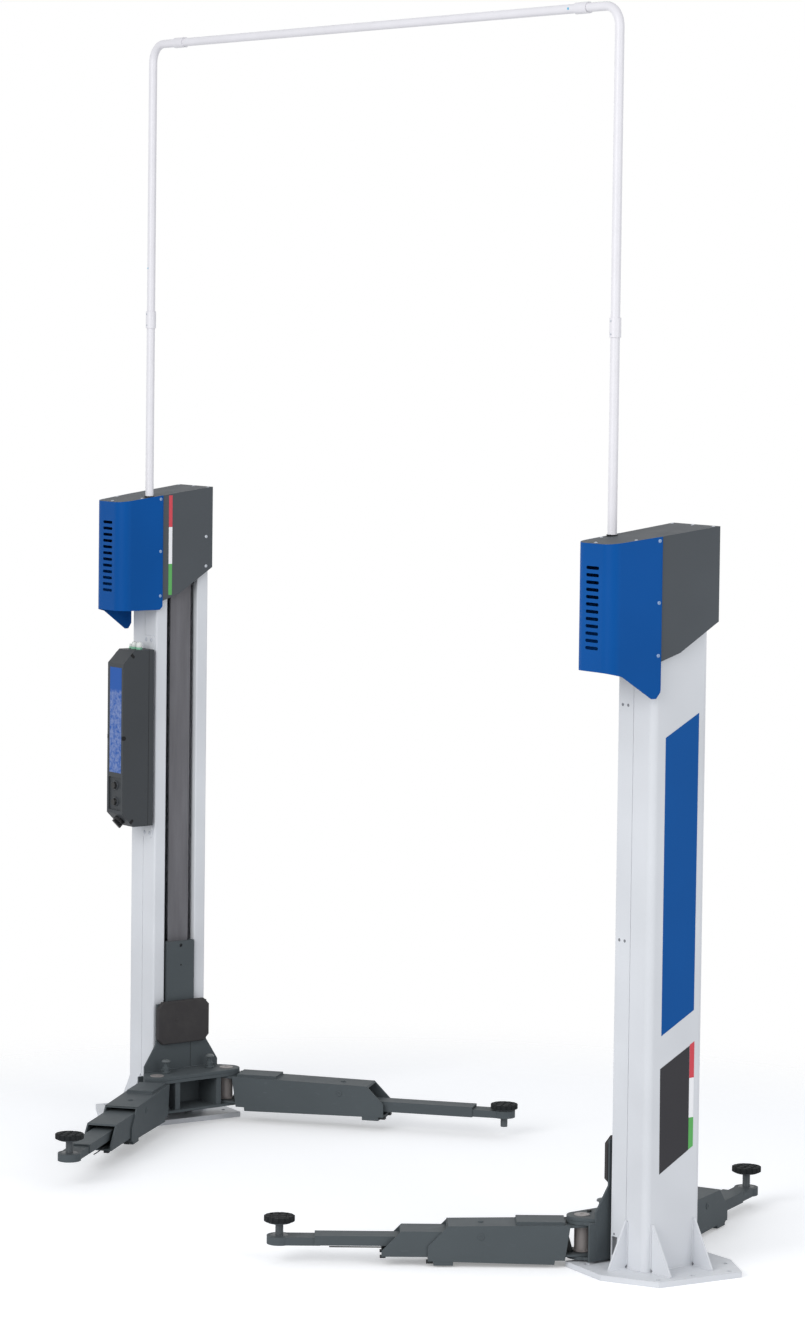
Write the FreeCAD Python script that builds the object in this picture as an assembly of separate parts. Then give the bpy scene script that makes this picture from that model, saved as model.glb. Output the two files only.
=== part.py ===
import FreeCAD
import Part
import math
import os
from FreeCAD import Vector

# Two post screw lift for cars. Millimetres, Z up, floor at z = 0.
# X runs from post to post, the posts mirror each other about x = 0.
# The origin is on the floor, midway between the posts.

# Driving dimensions: posts and base plates
post_inner_x = 1417.0
post_depth = 183.0
post_width = 244.0
post_wall = 6.0
post_back_radius = 25.0
post_front_radius = 7.0
post_top_z = 2425.0
slot_width = 140.0
lip_depth = 28.0
seam_from_front = 82.0
seam_width = 2.0
seam_depth = 1.5
window_width = 27.0
window_bottom_z = 49.0
window_top_z = 113.0
window_inset = 9.0

base_thickness = 20.0
# Corners of the right plate, seen from above, on from the inner front one
base_corners = [(1317.0, -234.0), (1532.0, -258.0), (1719.0, -159.0),
                (1765.0, 167.0), (1617.0, 248.0), (1359.0, 255.0)]
anchor_radius = 9.0
anchor_near_x = 1390.0
anchor_near_y = 200.0
anchor_outer = [(1646.0, 196.0), (1735.0, 137.0), (1713.0, -5.0), (1692.0, -141.0)]

gusset_thickness = 8.0
gusset_height = 162.0
gusset_foot = 78.0
gusset_back_foot = 98.0
gusset_tip = 6.0
gusset_side_x = 1504.0
gusset_back_y = 92.0

# Lifting screw and the band that hides it
screw_radius = 19.0
screw_from_front = 83.0
bearing_radius = 40.0
bearing_height = 25.0
band_width = 94.0
band_thickness = 3.0
band_inset = 13.0

# Motor housing, front cover and motor
sheet = 2.0
house_inner_x = 1395.0
house_front_y = -305.0
house_front_outer_x = 1585.0
house_split_y = -110.0
house_split_x = 1620.0
house_back_y = 129.0
house_back_x = 1641.0
house_corner_radius = 50.0
house_overlap = 20.0
roof_front_z = 2473.0
roof_back_z = 2528.0
cover_bottom_z = 2046.0
flap_tip_z = 1957.0
flap_radius = 22.0
cover_corner_radius = 12.0
house_bottom_split_z = 2080.0
house_bottom_bend_y = -30.0
house_bottom_bend_z = 2107.0
house_bottom_back_z = 2215.0
vent_count = 12
vent_pitch = 24.3
vent_height = 11.0
vent_width = 66.0
vent_centre_x = 1493.0
vent_top_z = 2392.0
deck_thickness = 10.0
motor_radius = 56.0
motor_x = 1500.0
motor_y = -205.0
motor_height = 270.0
motor_fin_count = 16
motor_fin_depth = 6.0
motor_fin_width = 4.0
motor_fin_margin = 40.0

# Overhead conduit
pipe_radius = 16.0
pipe_wall = 2.0
pipe_start_z = post_top_z + 32.0
pipe_x = 1418.0
pipe_y = -160.0
pipe_top_z = 4262.0
pipe_bend_radius = 72.0
pipe_joint_x = 1225.0
pipe_joint_gap = 2.0
sleeve_radius = 20.0
sleeve_length = 66.0
sleeve_low_z = 3188.0
sleeve_clearance = 0.1
pipe_collar_radius = 19.0
pipe_collar_height = 16.0
pipe_collar_proud = 4.0
pipe_hole_clearance = 0.3

# Control box on the left post, given with x outward
box_inner_x = 1410.0
box_outer_x = 1522.0
box_front_y = -280.0
box_back_y = -136.0
box_bottom_z = 1190.0
box_top_z = 1888.0
box_chamfer = 52.0
panel_inset = 6.0
panel_margin = 12.0
panel_bottom_z = 1255.0
panel_top_z = 1385.0
button_radius = 13.0
button_height = 14.0
button_high_z = 1353.0
button_low_z = 1288.0
isolator_radius = 22.0
isolator_height = 16.0
isolator_handle = 10.0
bracket_inner_x = 1432.0
bracket_outer_x = 1497.0
bracket_tab = 52.0
bracket_thickness = 5.0
gland_radius = 11.0
gland_height = 26.0
gland_spacing = 34.0
gland_small_radius = 5.0

# Carriage and yoke. Heights are those of the right side at rest.
left_raise = 37.0
carriage_plate_half = 62.0
carriage_plate_thickness = 8.0
carriage_plate_gap = 5.0
carriage_top_z = 682.0
carriage_low_z = 60.0
carriage_side_thickness = 10.0
carriage_side_reach = 83.0
carriage_hole_radius = 7.0
carriage_hole_drop = 18.0
carriage_hole_y = 0.0
shoe_height = 80.0
shoe_low_z = 110.0
shoe_high_z = 590.0
shoe_depth = 45.0
slide_gap = 0.5
nut_low_z = 330.0
nut_height = 90.0
nut_depth = 90.0
nut_clearance = 0.4

apron_thickness = 8.0
apron_low_z = 27.0
apron_half = 173.0
apron_shoulder_z = 195.0
apron_neck_z = 280.0
apron_neck_half = 118.0
apron_top_z = 438.0
door_pad_thickness = 18.0
door_pad_half = 121.0
door_pad_low_z = 277.0
door_pad_top_z = 447.0
door_pad_chamfer = 24.0
door_pad_edge = 5.0

pivot_x = 1319.0
pivot_y = 165.0
lug_radius = 54.0
lug_low_thickness = 10.0
lug_top_z = 158.0
lug_top_thickness = 12.0
yoke_inner_x = 1266.0
web_inner_x = 1272.0
web_low_y = 86.0
web_high_y = 109.0
pin_radius = 21.0
pin_fit = 0.05
pin_head_radius = 25.0
pin_head_height = 5.0
lock_x = 1348.0
lock_y = 104.0
lock_radius = 14.0
lock_height = 46.0
lock_cap_radius = 9.0
lock_cap_height = 16.0

# Arms, built along +X from the pivot
arm_root_low_z = 12.0
arm_root_top_z = 147.0
arm_mouth_low_z = 21.0
arm_mouth_top_z = 140.0
arm_width = 130.0
arm_wall = 6.0
arm_root = 75.0
arm_root_slant = 21.0
cheek_root = 42.0
cheek_slant = 18.0
cheek_low_z = 27.0
mouth_setback = 67.0
mouth_drop = 68.0
front_arm_length = 525.0
left_rear_arm_length = 665.0
right_rear_arm_length = 475.0
tongue_thickness = 8.0
tongue_gap = 1.0
tongue_radius = 50.0
tongue_length = 92.0
doubler_start = 60.0
doubler_width = 104.0
doubler_low_z = 142.5
doubler_top_z = 156.0
front_doubler_end = 225.0
rear_doubler_end = 222.0
foot_length = 70.0
foot_width = 62.0
foot_height = 9.0
slide_pad_length = 60.0
slide_pad_half = 40.0

middle_length = 420.0
middle_low_z = 34.0
middle_top_z = 121.0
inner_length = 400.0
inner_width = 80.0
inner_low_z = 66.0
inner_top_z = 99.0
shoe_length = 60.0
rear_inner_length = 520.0
rear_inner_low_z = 40.0
rear_inner_top_z = 80.0
tip_length = 120.0
tip_radius = 43.0
front_tip_low_z = 64.0
rear_tip_low_z = 42.0
tip_thickness = 28.0

pad_radius = 53.0
pad_thickness = 18.0
pad_bevel = 3.5
dish_radius = 42.0
dish_thickness = 5.0
stem_radius = 14.0
stem_fit = 0.05

# Rest pose of each arm: swing from the line between the posts, in degrees,
# reach of the middle tube's mouth, of the pad, and height of the dish over the tip
rest = {
    ("left", "front"): {"swing": 50.5, "middle": 762.0, "pad": 1080.0, "dish": 48.0},
    ("right", "front"): {"swing": 54.0, "middle": 682.0, "pad": 1030.0, "dish": 44.0},
    ("left", "rear"): {"swing": 39.0, "pad": 1140.0, "dish": 1.0},
    ("right", "rear"): {"swing": 65.0, "pad": 795.0, "dish": 52.0},
}
stem_below = 5.0
stem_above = 34.0

post_outer_x = post_inner_x + post_depth
post_half = post_width / 2
slot_half = slot_width / 2
screw_x = post_inner_x + screw_from_front
apron_back_x = post_inner_x - carriage_plate_gap - carriage_plate_thickness
apron_face_x = apron_back_x - apron_thickness
deck_top_z = post_top_z + deck_thickness
big = 400.0


# Helpers
def block(x0, x1, y0, y1, z0, z1):
    return Part.makeBox(x1 - x0, y1 - y0, z1 - z0, Vector(x0, y0, z0))


def rod(radius, z0, z1, x=0.0, y=0.0):
    return Part.makeCylinder(radius, z1 - z0, Vector(x, y, z0))


def flat_plate(points, z0, z1):
    corners = [Vector(x, y, z0) for x, y in points]
    face = Part.Face(Part.makePolygon(corners + corners[:1]))
    return face.extrude(Vector(0, 0, z1 - z0))


def side_plate(points, x0, x1):
    corners = [Vector(x0, y, z) for y, z in points]
    face = Part.Face(Part.makePolygon(corners + corners[:1]))
    return face.extrude(Vector(x1 - x0, 0, 0))


def long_plate(points, y0, y1):
    corners = [Vector(x, y0, z) for x, z in points]
    face = Part.Face(Part.makePolygon(corners + corners[:1]))
    return face.extrude(Vector(0, y1 - y0, 0))


def join(shapes):
    result = shapes[0].multiFuse(shapes[1:]) if len(shapes) > 1 else shapes[0]
    return result.removeSplitter()


def round_edges(shape, radius, wanted):
    edges = [edge for edge in shape.Edges if wanted(edge)]
    return shape.makeFillet(radius, edges)


def upright_at(edge, x, y, slack=0.5):
    box = edge.BoundBox
    flat = box.XLength < slack and box.YLength < slack and box.ZLength > slack
    return flat and abs(box.Center.x - x) < slack and abs(box.Center.y - y) < slack


def inset(points, distance):
    # Each side of a convex outline moves inward by distance, and neighbours are met again.
    area = sum(a[0] * b[1] - b[0] * a[1] for a, b in zip(points, points[1:] + points[:1]))
    sign = 1.0 if area > 0 else -1.0
    lines = []
    for a, b in zip(points, points[1:] + points[:1]):
        length = math.hypot(b[0] - a[0], b[1] - a[1])
        direction = ((b[0] - a[0]) / length, (b[1] - a[1]) / length)
        normal = (-direction[1] * sign, direction[0] * sign)
        lines.append(((a[0] + normal[0] * distance, a[1] + normal[1] * distance), direction))
    result = []
    for (p, d), (q, e) in zip(lines[-1:] + lines[:-1], lines):
        cross = d[0] * e[1] - d[1] * e[0]
        t = ((q[0] - p[0]) * e[1] - (q[1] - p[1]) * e[0]) / cross
        result.append((p[0] + d[0] * t, p[1] + d[1] * t))
    return result


# Frame pieces, all for the right post
def make_base_plate():
    plate = flat_plate(base_corners, 0.0, base_thickness)
    holes = [(anchor_near_x, -anchor_near_y), (anchor_near_x, anchor_near_y)] + anchor_outer
    for x, y in holes:
        plate = plate.cut(rod(anchor_radius, -1.0, base_thickness + 1.0, x, y))
    return plate


def make_post():
    low = base_thickness
    outer = block(post_inner_x, post_outer_x, -post_half, post_half, low, post_top_z)
    inner = block(post_inner_x + post_wall, post_outer_x - post_wall,
                  -post_half + post_wall, post_half - post_wall, low - 1, post_top_z + 1)
    for s in (-1, 1):
        outer = round_edges(outer, post_back_radius, lambda e: upright_at(e, post_outer_x, s * post_half))
        outer = round_edges(outer, post_front_radius, lambda e: upright_at(e, post_inner_x,
                                                                           s * post_half))
        inner = round_edges(inner, post_back_radius - post_wall,
                            lambda e: upright_at(e, post_outer_x - post_wall,
                                                 s * (post_half - post_wall)))
    post = outer.cut(inner)
    post = post.cut(block(post_inner_x - 1, post_inner_x + 2 * post_wall, -slot_half, slot_half,
                          low - 1, post_top_z + 1))
    lips = [block(post_inner_x, post_inner_x + lip_depth, min(s * slot_half, s * (slot_half + post_wall)),
                  max(s * slot_half, s * (slot_half + post_wall)), low, post_top_z) for s in (-1, 1)]
    post = join([post] + lips)
    for s in (-1, 1):
        post = round_edges(post, post_wall - 0.5, lambda e: upright_at(e, post_inner_x, s * slot_half))
    seam_x = post_inner_x + seam_from_front
    for s in (-1, 1):
        face = s * post_half
        deep = s * (post_half - seam_depth)
        post = post.cut(block(seam_x - seam_width / 2, seam_x + seam_width / 2, min(face, deep),
                              max(face, deep), low - 1, post_top_z + 1))
    window_x = post_inner_x + window_inset
    post = post.cut(block(window_x, window_x + window_width, -post_half - 1, -post_half + post_wall + 1,
                          window_bottom_z, window_top_z))
    return post


def make_gussets():
    low = base_thickness
    high = low + gusset_height
    pieces = []
    for s in (-1, 1):
        face = s * post_half
        foot = s * (post_half + gusset_foot)
        outline = [(face, low), (foot, low), (foot, low + gusset_tip), (face + s * gusset_tip, high),
                   (face, high)]
        half = gusset_thickness / 2
        pieces.append(side_plate(outline, gusset_side_x - half, gusset_side_x + half))
        foot_x = post_outer_x + gusset_back_foot
        outline = [(post_outer_x, low), (foot_x, low), (foot_x, low + gusset_tip),
                   (post_outer_x + gusset_tip, high), (post_outer_x, high)]
        pieces.append(long_plate(outline, s * gusset_back_y - half, s * gusset_back_y + half))
    return Part.makeCompound(pieces)


def make_band():
    x0 = post_inner_x + band_inset
    return block(x0, x0 + band_thickness, -band_width / 2, band_width / 2, base_thickness, post_top_z)


def make_screw():
    shaft = rod(screw_radius, base_thickness, post_top_z, screw_x)
    foot = rod(bearing_radius, base_thickness, base_thickness + bearing_height, screw_x)
    head = rod(bearing_radius, post_top_z - bearing_height, post_top_z, screw_x)
    return join([shaft, foot, head])


# Motor housing. The roof falls towards the front.
def house_outline():
    return [
        (house_inner_x, house_back_y),
        (house_inner_x, house_front_y),
        (house_front_outer_x, house_front_y),
        (house_split_x, house_split_y),
        (house_back_x, house_back_y),
    ]


def house_prism(distance, z0, z1):
    points = inset(house_outline(), distance)
    prism = flat_plate(points, z0, z1)
    radius = house_corner_radius - distance
    for x, y in (points[1], points[2]):
        prism = round_edges(prism, radius, lambda e: upright_at(e, x, y))
    return prism


def roof_z(y):
    along = (y - house_front_y) / (house_back_y - house_front_y)
    return roof_front_z + (roof_back_z - roof_front_z) * along


def under_roof(drop):
    y0 = house_front_y - big
    y1 = house_back_y + big
    outline = [(y0, cover_bottom_z - big), (y1, cover_bottom_z - big), (y1, roof_z(y1) - drop),
               (y0, roof_z(y0) - drop)]
    return side_plate(outline, house_inner_x - big, house_back_x + big)


def make_cover():
    low = cover_bottom_z - big
    high = roof_back_z + big
    wall = house_prism(0.0, low, high).cut(house_prism(sheet, low - 1, high + 1))
    wall = wall.common(block(house_inner_x - big, house_back_x + big, house_front_y - big,
                             house_split_y, low, high))
    wall = wall.common(under_roof(0.0))
    # The inner side ends level, and the outer side hangs down as a rounded flap.
    middle = house_front_outer_x - house_corner_radius
    corner_y = house_split_y - cover_corner_radius
    level = side_plate([(house_front_y - big, cover_bottom_z), (corner_y, cover_bottom_z),
                        (house_split_y, cover_bottom_z + cover_corner_radius), (house_split_y, high),
                        (house_front_y - big, high)], house_inner_x - 10, middle)
    flap_start_y = house_front_y + house_corner_radius
    tip_y = house_split_y - flap_radius
    flap = side_plate([(house_front_y - big, cover_bottom_z), (house_front_y, cover_bottom_z),
                       (flap_start_y, cover_bottom_z - 12.0), (tip_y - 12.0, flap_tip_z),
                       (tip_y + 6.0, flap_tip_z), (house_split_y, flap_tip_z + flap_radius),
                       (house_split_y, high), (house_front_y - big, high)], middle, house_back_x + big)
    wall = wall.common(join([level, flap]))
    slots = []
    for i in range(vent_count):
        z = vent_top_z - i * vent_pitch
        half = vent_width / 2 - vent_height / 2
        slot = block(vent_centre_x - half, vent_centre_x + half, house_front_y - 1,
                     house_front_y + sheet + 1,
                     z - vent_height / 2, z + vent_height / 2)
        ends = [Part.makeCylinder(vent_height / 2, sheet + 2,
                                  Vector(vent_centre_x + s * half, house_front_y - 1, z),
                                  Vector(0, 1, 0)) for s in (-1, 1)]
        slots.append(join([slot] + ends))
    return wall.cut(Part.makeCompound(slots))


def make_housing():
    low = cover_bottom_z - big
    high = roof_back_z + big
    body = house_prism(sheet, low, high).common(under_roof(0.0))
    hollow = house_prism(2 * sheet, low - 1, high + 1).common(under_roof(sheet))
    shell = body.cut(hollow)
    wall_start = house_split_y - house_overlap
    skirt = side_plate([(wall_start, house_bottom_split_z), (house_split_y, house_bottom_split_z),
                        (house_bottom_bend_y, house_bottom_bend_z),
                        (house_back_y + 10, house_bottom_back_z),
                        (house_back_y + 10, high), (wall_start,
                                                    high)], house_inner_x - 10, house_back_x + 10)
    roof_only = under_roof(-1.0).cut(under_roof(sheet))
    shell = shell.common(join([skirt, roof_only]))
    hole = rod(pipe_collar_radius + pipe_hole_clearance, post_top_z, high, pipe_x, pipe_y)
    return shell.cut(hole)


def make_deck():
    return house_prism(2 * sheet, post_top_z, deck_top_z)


def make_motor():
    body = rod(motor_radius, post_top_z - motor_height, post_top_z, motor_x, motor_y)
    cuts = []
    for i in range(motor_fin_count):
        fin = block(motor_radius - motor_fin_depth, motor_radius + 5, -motor_fin_width / 2,
                    motor_fin_width / 2,
                    post_top_z - motor_height + motor_fin_margin, post_top_z - motor_fin_margin)
        fin.rotate(Vector(0, 0, 0), Vector(0, 0, 1), 360.0 * i / motor_fin_count)
        fin.translate(Vector(motor_x, motor_y, 0))
        cuts.append(fin)
    return body.cut(Part.makeCompound(cuts))


# Conduit
def pipe_solid(radius):
    top = pipe_top_z
    start = Vector(pipe_x, pipe_y, pipe_start_z)
    bend_low = Vector(pipe_x, pipe_y, top - pipe_bend_radius)
    bend_end = Vector(pipe_x - pipe_bend_radius, pipe_y, top)
    turn = pipe_bend_radius * (1 - math.sqrt(0.5))
    bend_middle = Vector(pipe_x - turn, pipe_y, top - turn)
    end = Vector(pipe_joint_x + pipe_joint_gap / 2, pipe_y, top)
    path = Part.Wire([Part.makeLine(start, bend_low), Part.Arc(bend_low, bend_middle, bend_end).toShape(),
                      Part.makeLine(bend_end, end)])
    circle = Part.Wire([Part.makeCircle(radius, start, Vector(0, 0, 1))])
    return path.makePipeShell([circle], True, False)


def make_riser():
    return pipe_solid(pipe_radius).cut(pipe_solid(pipe_radius - pipe_wall))


def make_grommet():
    top = roof_z(pipe_y) + pipe_collar_proud
    ring = rod(pipe_collar_radius, top - pipe_collar_height, top, pipe_x, pipe_y)
    return ring.cut(rod(pipe_radius + sleeve_clearance, top - pipe_collar_height - 1, top + 1, pipe_x,
                        pipe_y))


def make_cross_pipe():
    half = pipe_joint_x - pipe_joint_gap / 2
    start = Vector(-half, pipe_y, pipe_top_z)
    tube = Part.makeCylinder(pipe_radius, 2 * half, start, Vector(1, 0, 0))
    return tube.cut(Part.makeCylinder(pipe_radius - pipe_wall, 2 * half, start, Vector(1, 0, 0)))


def sleeve_at(centre, direction):
    start = centre - direction * (sleeve_length / 2)
    ring = Part.makeCylinder(sleeve_radius, sleeve_length, start, direction)
    return ring.cut(Part.makeCylinder(pipe_radius + sleeve_clearance, sleeve_length, start, direction))


def make_riser_sleeve():
    return sleeve_at(Vector(pipe_x, pipe_y, sleeve_low_z), Vector(0, 0, 1))


def make_cross_sleeve():
    return sleeve_at(Vector(pipe_joint_x, pipe_y, pipe_top_z), Vector(1, 0, 0))


# Control box
def make_control_box():
    outline = [
        (box_back_y, box_bottom_z),
        (box_front_y + box_chamfer, box_bottom_z),
        (box_front_y, box_bottom_z + box_chamfer),
        (box_front_y, box_top_z - box_chamfer),
        (box_front_y + box_chamfer, box_top_z),
        (box_back_y, box_top_z),
    ]
    box = side_plate(outline, box_inner_x, box_outer_x)
    panel = block(box_inner_x + panel_margin, box_outer_x - panel_margin, box_front_y - 1,
                  box_front_y + panel_inset, panel_bottom_z, panel_top_z)
    return box.cut(panel)


def make_bracket():
    web = block(bracket_inner_x, bracket_outer_x, box_back_y, -post_half, box_bottom_z + 20,
                box_top_z - 20)
    tabs = block(bracket_inner_x, bracket_outer_x, -post_half - bracket_thickness, -post_half,
                 box_bottom_z - bracket_tab, box_top_z + bracket_tab)
    return join([web, tabs])


def make_buttons():
    x = (box_inner_x + box_outer_x) / 2
    face = box_front_y + panel_inset
    solids = [Part.makeCylinder(button_radius, button_height, Vector(x, face, z), Vector(0, -1, 0))
              for z in (button_high_z, button_low_z)]
    return Part.makeCompound(solids)


def make_isolator():
    x = (box_inner_x + box_outer_x) / 2
    slope = Vector(0, -1, -1).normalize()
    centre = Vector(x, box_front_y + box_chamfer / 2, box_bottom_z + box_chamfer / 2)
    dial = Part.makeCylinder(isolator_radius, isolator_height, centre, slope)
    handle = block(-isolator_handle / 2, isolator_handle / 2, -isolator_radius, isolator_radius, 0,
                   isolator_handle)
    handle.rotate(Vector(0, 0, 0), Vector(1, 0, 0), 135.0)
    handle.translate(centre + slope * isolator_height)
    return join([dial, handle])


def make_glands():
    y = (box_front_y + box_chamfer + box_back_y) / 2
    x = (box_inner_x + box_outer_x) / 2
    solids = []
    for offset, radius in ((-gland_spacing / 2, gland_radius), (gland_spacing / 2, gland_radius)):
        body = rod(radius, box_top_z, box_top_z + gland_height * 0.45, x + offset, y)
        cap = Part.makeCone(radius, radius * 0.7, gland_height * 0.55,
                            Vector(x + offset, y, box_top_z + gland_height * 0.45))
        solids.append(join([body, cap]))
    solids.append(rod(gland_small_radius, box_top_z, box_top_z + gland_height * 0.7,
                      x + gland_spacing * 1.3, y))
    return Part.makeCompound(solids)


# Carriage, with its yoke, for the right post
def make_carriage():
    face = post_inner_x - carriage_plate_gap
    front = block(face - carriage_plate_thickness, face, -carriage_plate_half, carriage_plate_half,
                  apron_low_z, carriage_top_z)
    hole = Part.makeCylinder(carriage_hole_radius, carriage_plate_thickness + 2,
                             Vector(face + 1, -carriage_hole_y, carriage_top_z - carriage_hole_drop),
                             Vector(-1, 0, 0))
    front = front.cut(hole)
    parts = [front]
    for s in (-1, 1):
        edge = s * carriage_plate_half
        inner = s * (carriage_plate_half - carriage_side_thickness)
        y0 = min(edge, inner)
        y1 = max(edge, inner)
        parts.append(block(face, post_inner_x + carriage_side_reach, y0, y1, carriage_low_z,
                           carriage_top_z))
        parts.append(block(face, screw_x + nut_depth / 2, y0, y1, nut_low_z, nut_low_z + nut_height))
        shoe_end = s * (post_half - post_wall - slide_gap)
        shoe_x = post_inner_x + lip_depth + slide_gap
        for z in (shoe_low_z, shoe_high_z):
            parts.append(block(shoe_x, shoe_x + shoe_depth, min(edge, shoe_end), max(edge, shoe_end), z,
                               z + shoe_height))
    nut = block(screw_x - nut_depth / 2, screw_x + nut_depth / 2, -carriage_plate_half,
                carriage_plate_half,
                nut_low_z, nut_low_z + nut_height)
    parts.append(nut)
    apron = side_plate([(-apron_half, apron_low_z), (apron_half, apron_low_z),
                        (apron_half, apron_shoulder_z),
                        (apron_neck_half, apron_neck_z), (apron_neck_half, apron_top_z),
                        (-apron_neck_half, apron_top_z), (-apron_neck_half, apron_neck_z),
                        (-apron_half, apron_shoulder_z)], apron_face_x, apron_back_x)
    parts.append(apron)
    levels = ((apron_low_z, apron_low_z + lug_low_thickness), (lug_top_z - lug_top_thickness, lug_top_z))
    for z0, z1 in levels:
        parts.append(block(yoke_inner_x, apron_face_x, -pivot_y, pivot_y, z0, z1))
        parts.append(flat_plate([(pivot_x, -pivot_y - lug_radius), (apron_back_x, -apron_half),
                                 (apron_back_x, apron_half), (pivot_x, pivot_y + lug_radius)], z0, z1))
        parts += [rod(lug_radius, z0, z1, pivot_x, s * pivot_y) for s in (-1, 1)]
    for s in (-1, 1):
        parts.append(block(web_inner_x, apron_face_x, min(s * web_low_y, s * web_high_y),
                           max(s * web_low_y, s * web_high_y), apron_low_z, lug_top_z - 1))
    body = join(parts)
    body = body.cut(rod(screw_radius + nut_clearance, nut_low_z - 1, nut_low_z + nut_height + 1, screw_x))
    for s in (-1, 1):
        body = body.cut(rod(pin_radius + pin_fit, 0, lug_top_z + 1, pivot_x, s * pivot_y))
        body = body.cut(rod(lock_radius + pin_fit, lug_top_z - lug_top_thickness - 1, lug_top_z + 1,
                            lock_x, s * lock_y))
    return body


def make_door_pad():
    c = door_pad_chamfer
    h = door_pad_half
    pad = side_plate([(-h + c, door_pad_low_z), (h - c, door_pad_low_z), (h, door_pad_low_z + c),
                      (h, door_pad_top_z - c), (h - c, door_pad_top_z), (-h + c, door_pad_top_z),
                      (-h, door_pad_top_z - c), (-h, door_pad_low_z + c)],
                     apron_face_x - door_pad_thickness, apron_face_x)
    front = [e for e in pad.Edges if abs(e.BoundBox.XMax - (apron_face_x - door_pad_thickness)) < 0.01]
    return pad.makeFillet(door_pad_edge, front)


def make_pins():
    solids = []
    for s in (-1, 1):
        shank = rod(pin_radius, apron_low_z, lug_top_z, pivot_x, s * pivot_y)
        head = rod(pin_head_radius, lug_top_z, lug_top_z + pin_head_height, pivot_x, s * pivot_y)
        solids.append(join([shank, head]))
    return Part.makeCompound(solids)


def make_locks():
    solids = []
    for s in (-1, 1):
        barrel_top = lug_top_z + lock_height
        barrel = rod(lock_radius, lug_top_z - lug_top_thickness, barrel_top, lock_x, s * lock_y)
        cap = rod(lock_cap_radius, barrel_top, barrel_top + lock_cap_height, lock_x, s * lock_y)
        solids.append(join([barrel, cap]))
    return Part.makeCompound(solids)


# Arms
def open_mouth(length, top_z):
    return long_plate([(length - mouth_setback, top_z + 1), (length + 1, top_z + 1),
                       (length + 1, top_z - mouth_drop),
                       (length, top_z - mouth_drop), (length - mouth_setback,
                                                      top_z)], -arm_width, arm_width)


def square_tube(start, end, width, z0, z1, wall):
    outer = block(start, end, -width / 2, width / 2, z0, z1)
    inner = block(start - 1, end + 1, -width / 2 + wall, width / 2 - wall, z0 + wall, z1 - wall)
    return outer.cut(inner)


def taper_z(r, length, root_z, mouth_z):
    return root_z + (mouth_z - root_z) * (r - arm_root) / (length - arm_root)


def tapered_tube(length):
    low = [taper_z(r, length, arm_root_low_z, arm_mouth_low_z) for r in (0.0, arm_root + arm_root_slant,
                                                                         length, length + 1)]
    high = [taper_z(r, length, arm_root_top_z, arm_mouth_top_z) for r in (0.0, arm_root, length,
                                                                          length + 1)]
    half = arm_width / 2
    outer = long_plate([(arm_root + arm_root_slant, low[1]), (length, low[2]), (length, high[2]),
                        (arm_root, high[1])],
                       -half, half)
    inner = long_plate([(0.0, low[0] + arm_wall), (length + 1, low[3] + arm_wall),
                        (length + 1, high[3] - arm_wall),
                        (0.0, high[0] - arm_wall)], -half + arm_wall, half - arm_wall)
    # The side walls reach past the yoke's lugs as cheeks, down to the height of the lower lug.
    parts = [outer.cut(inner)]
    root_top = taper_z(cheek_root, length, arm_root_top_z, arm_mouth_top_z)
    tail = arm_root + arm_root_slant + arm_wall
    tail_top = taper_z(tail, length, arm_root_top_z, arm_mouth_top_z)
    cheek = [(cheek_root, root_top), (cheek_root + cheek_slant, cheek_low_z), (tail, cheek_low_z),
             (tail, tail_top)]
    for y in (-half, half - arm_wall):
        parts.append(long_plate(cheek, y, y + arm_wall))
    return join(parts)


def make_outer_arm(length, doubler_end, stage_low_z):
    parts = [tapered_tube(length)]
    parts.append(block(doubler_start, doubler_end, -doubler_width / 2, doubler_width / 2, doubler_low_z,
                       doubler_top_z))
    foot_z = arm_mouth_low_z - foot_height
    parts.append(block(length - foot_length, length - 2, -foot_width / 2, foot_width / 2, foot_z,
                       arm_mouth_low_z + 1))
    # The stage inside rests on a slide pad just behind the mouth.
    pad_end = length - slide_pad_length / 3
    parts.append(block(pad_end - slide_pad_length, pad_end, -slide_pad_half, slide_pad_half,
                       arm_mouth_low_z + 1, stage_low_z - slide_gap))
    half = arm_width / 2 - arm_wall / 2
    low = apron_low_z + lug_low_thickness + tongue_gap
    high = lug_top_z - lug_top_thickness - tongue_gap
    for z0, z1 in ((low, low + tongue_thickness), (high - tongue_thickness, high)):
        parts.append(rod(tongue_radius, z0, z1))
        parts.append(flat_plate([(0, -tongue_radius), (arm_root - 8, -half), (tongue_length, -half),
                                 (tongue_length, half), (arm_root - 8, half),
                                 (0, tongue_radius)], z0, z1))
    arm = join(parts).cut(rod(pin_radius + pin_fit, 0, lug_top_z))
    return arm.cut(open_mouth(length, arm_mouth_top_z))


def make_middle_arm(mouth):
    width = arm_width - 2 * (arm_wall + slide_gap)
    tube = square_tube(mouth - middle_length, mouth, width, middle_low_z, middle_top_z, arm_wall)
    return tube.cut(open_mouth(mouth, middle_top_z))


def make_tip(pad_reach, low_z):
    bar = block(pad_reach - tip_length - 20, pad_reach, -inner_width / 2 + 4, inner_width / 2 - 4,
                low_z, low_z + tip_thickness)
    eye = rod(tip_radius, low_z, low_z + tip_thickness, pad_reach)
    return join([bar, eye])


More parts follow.
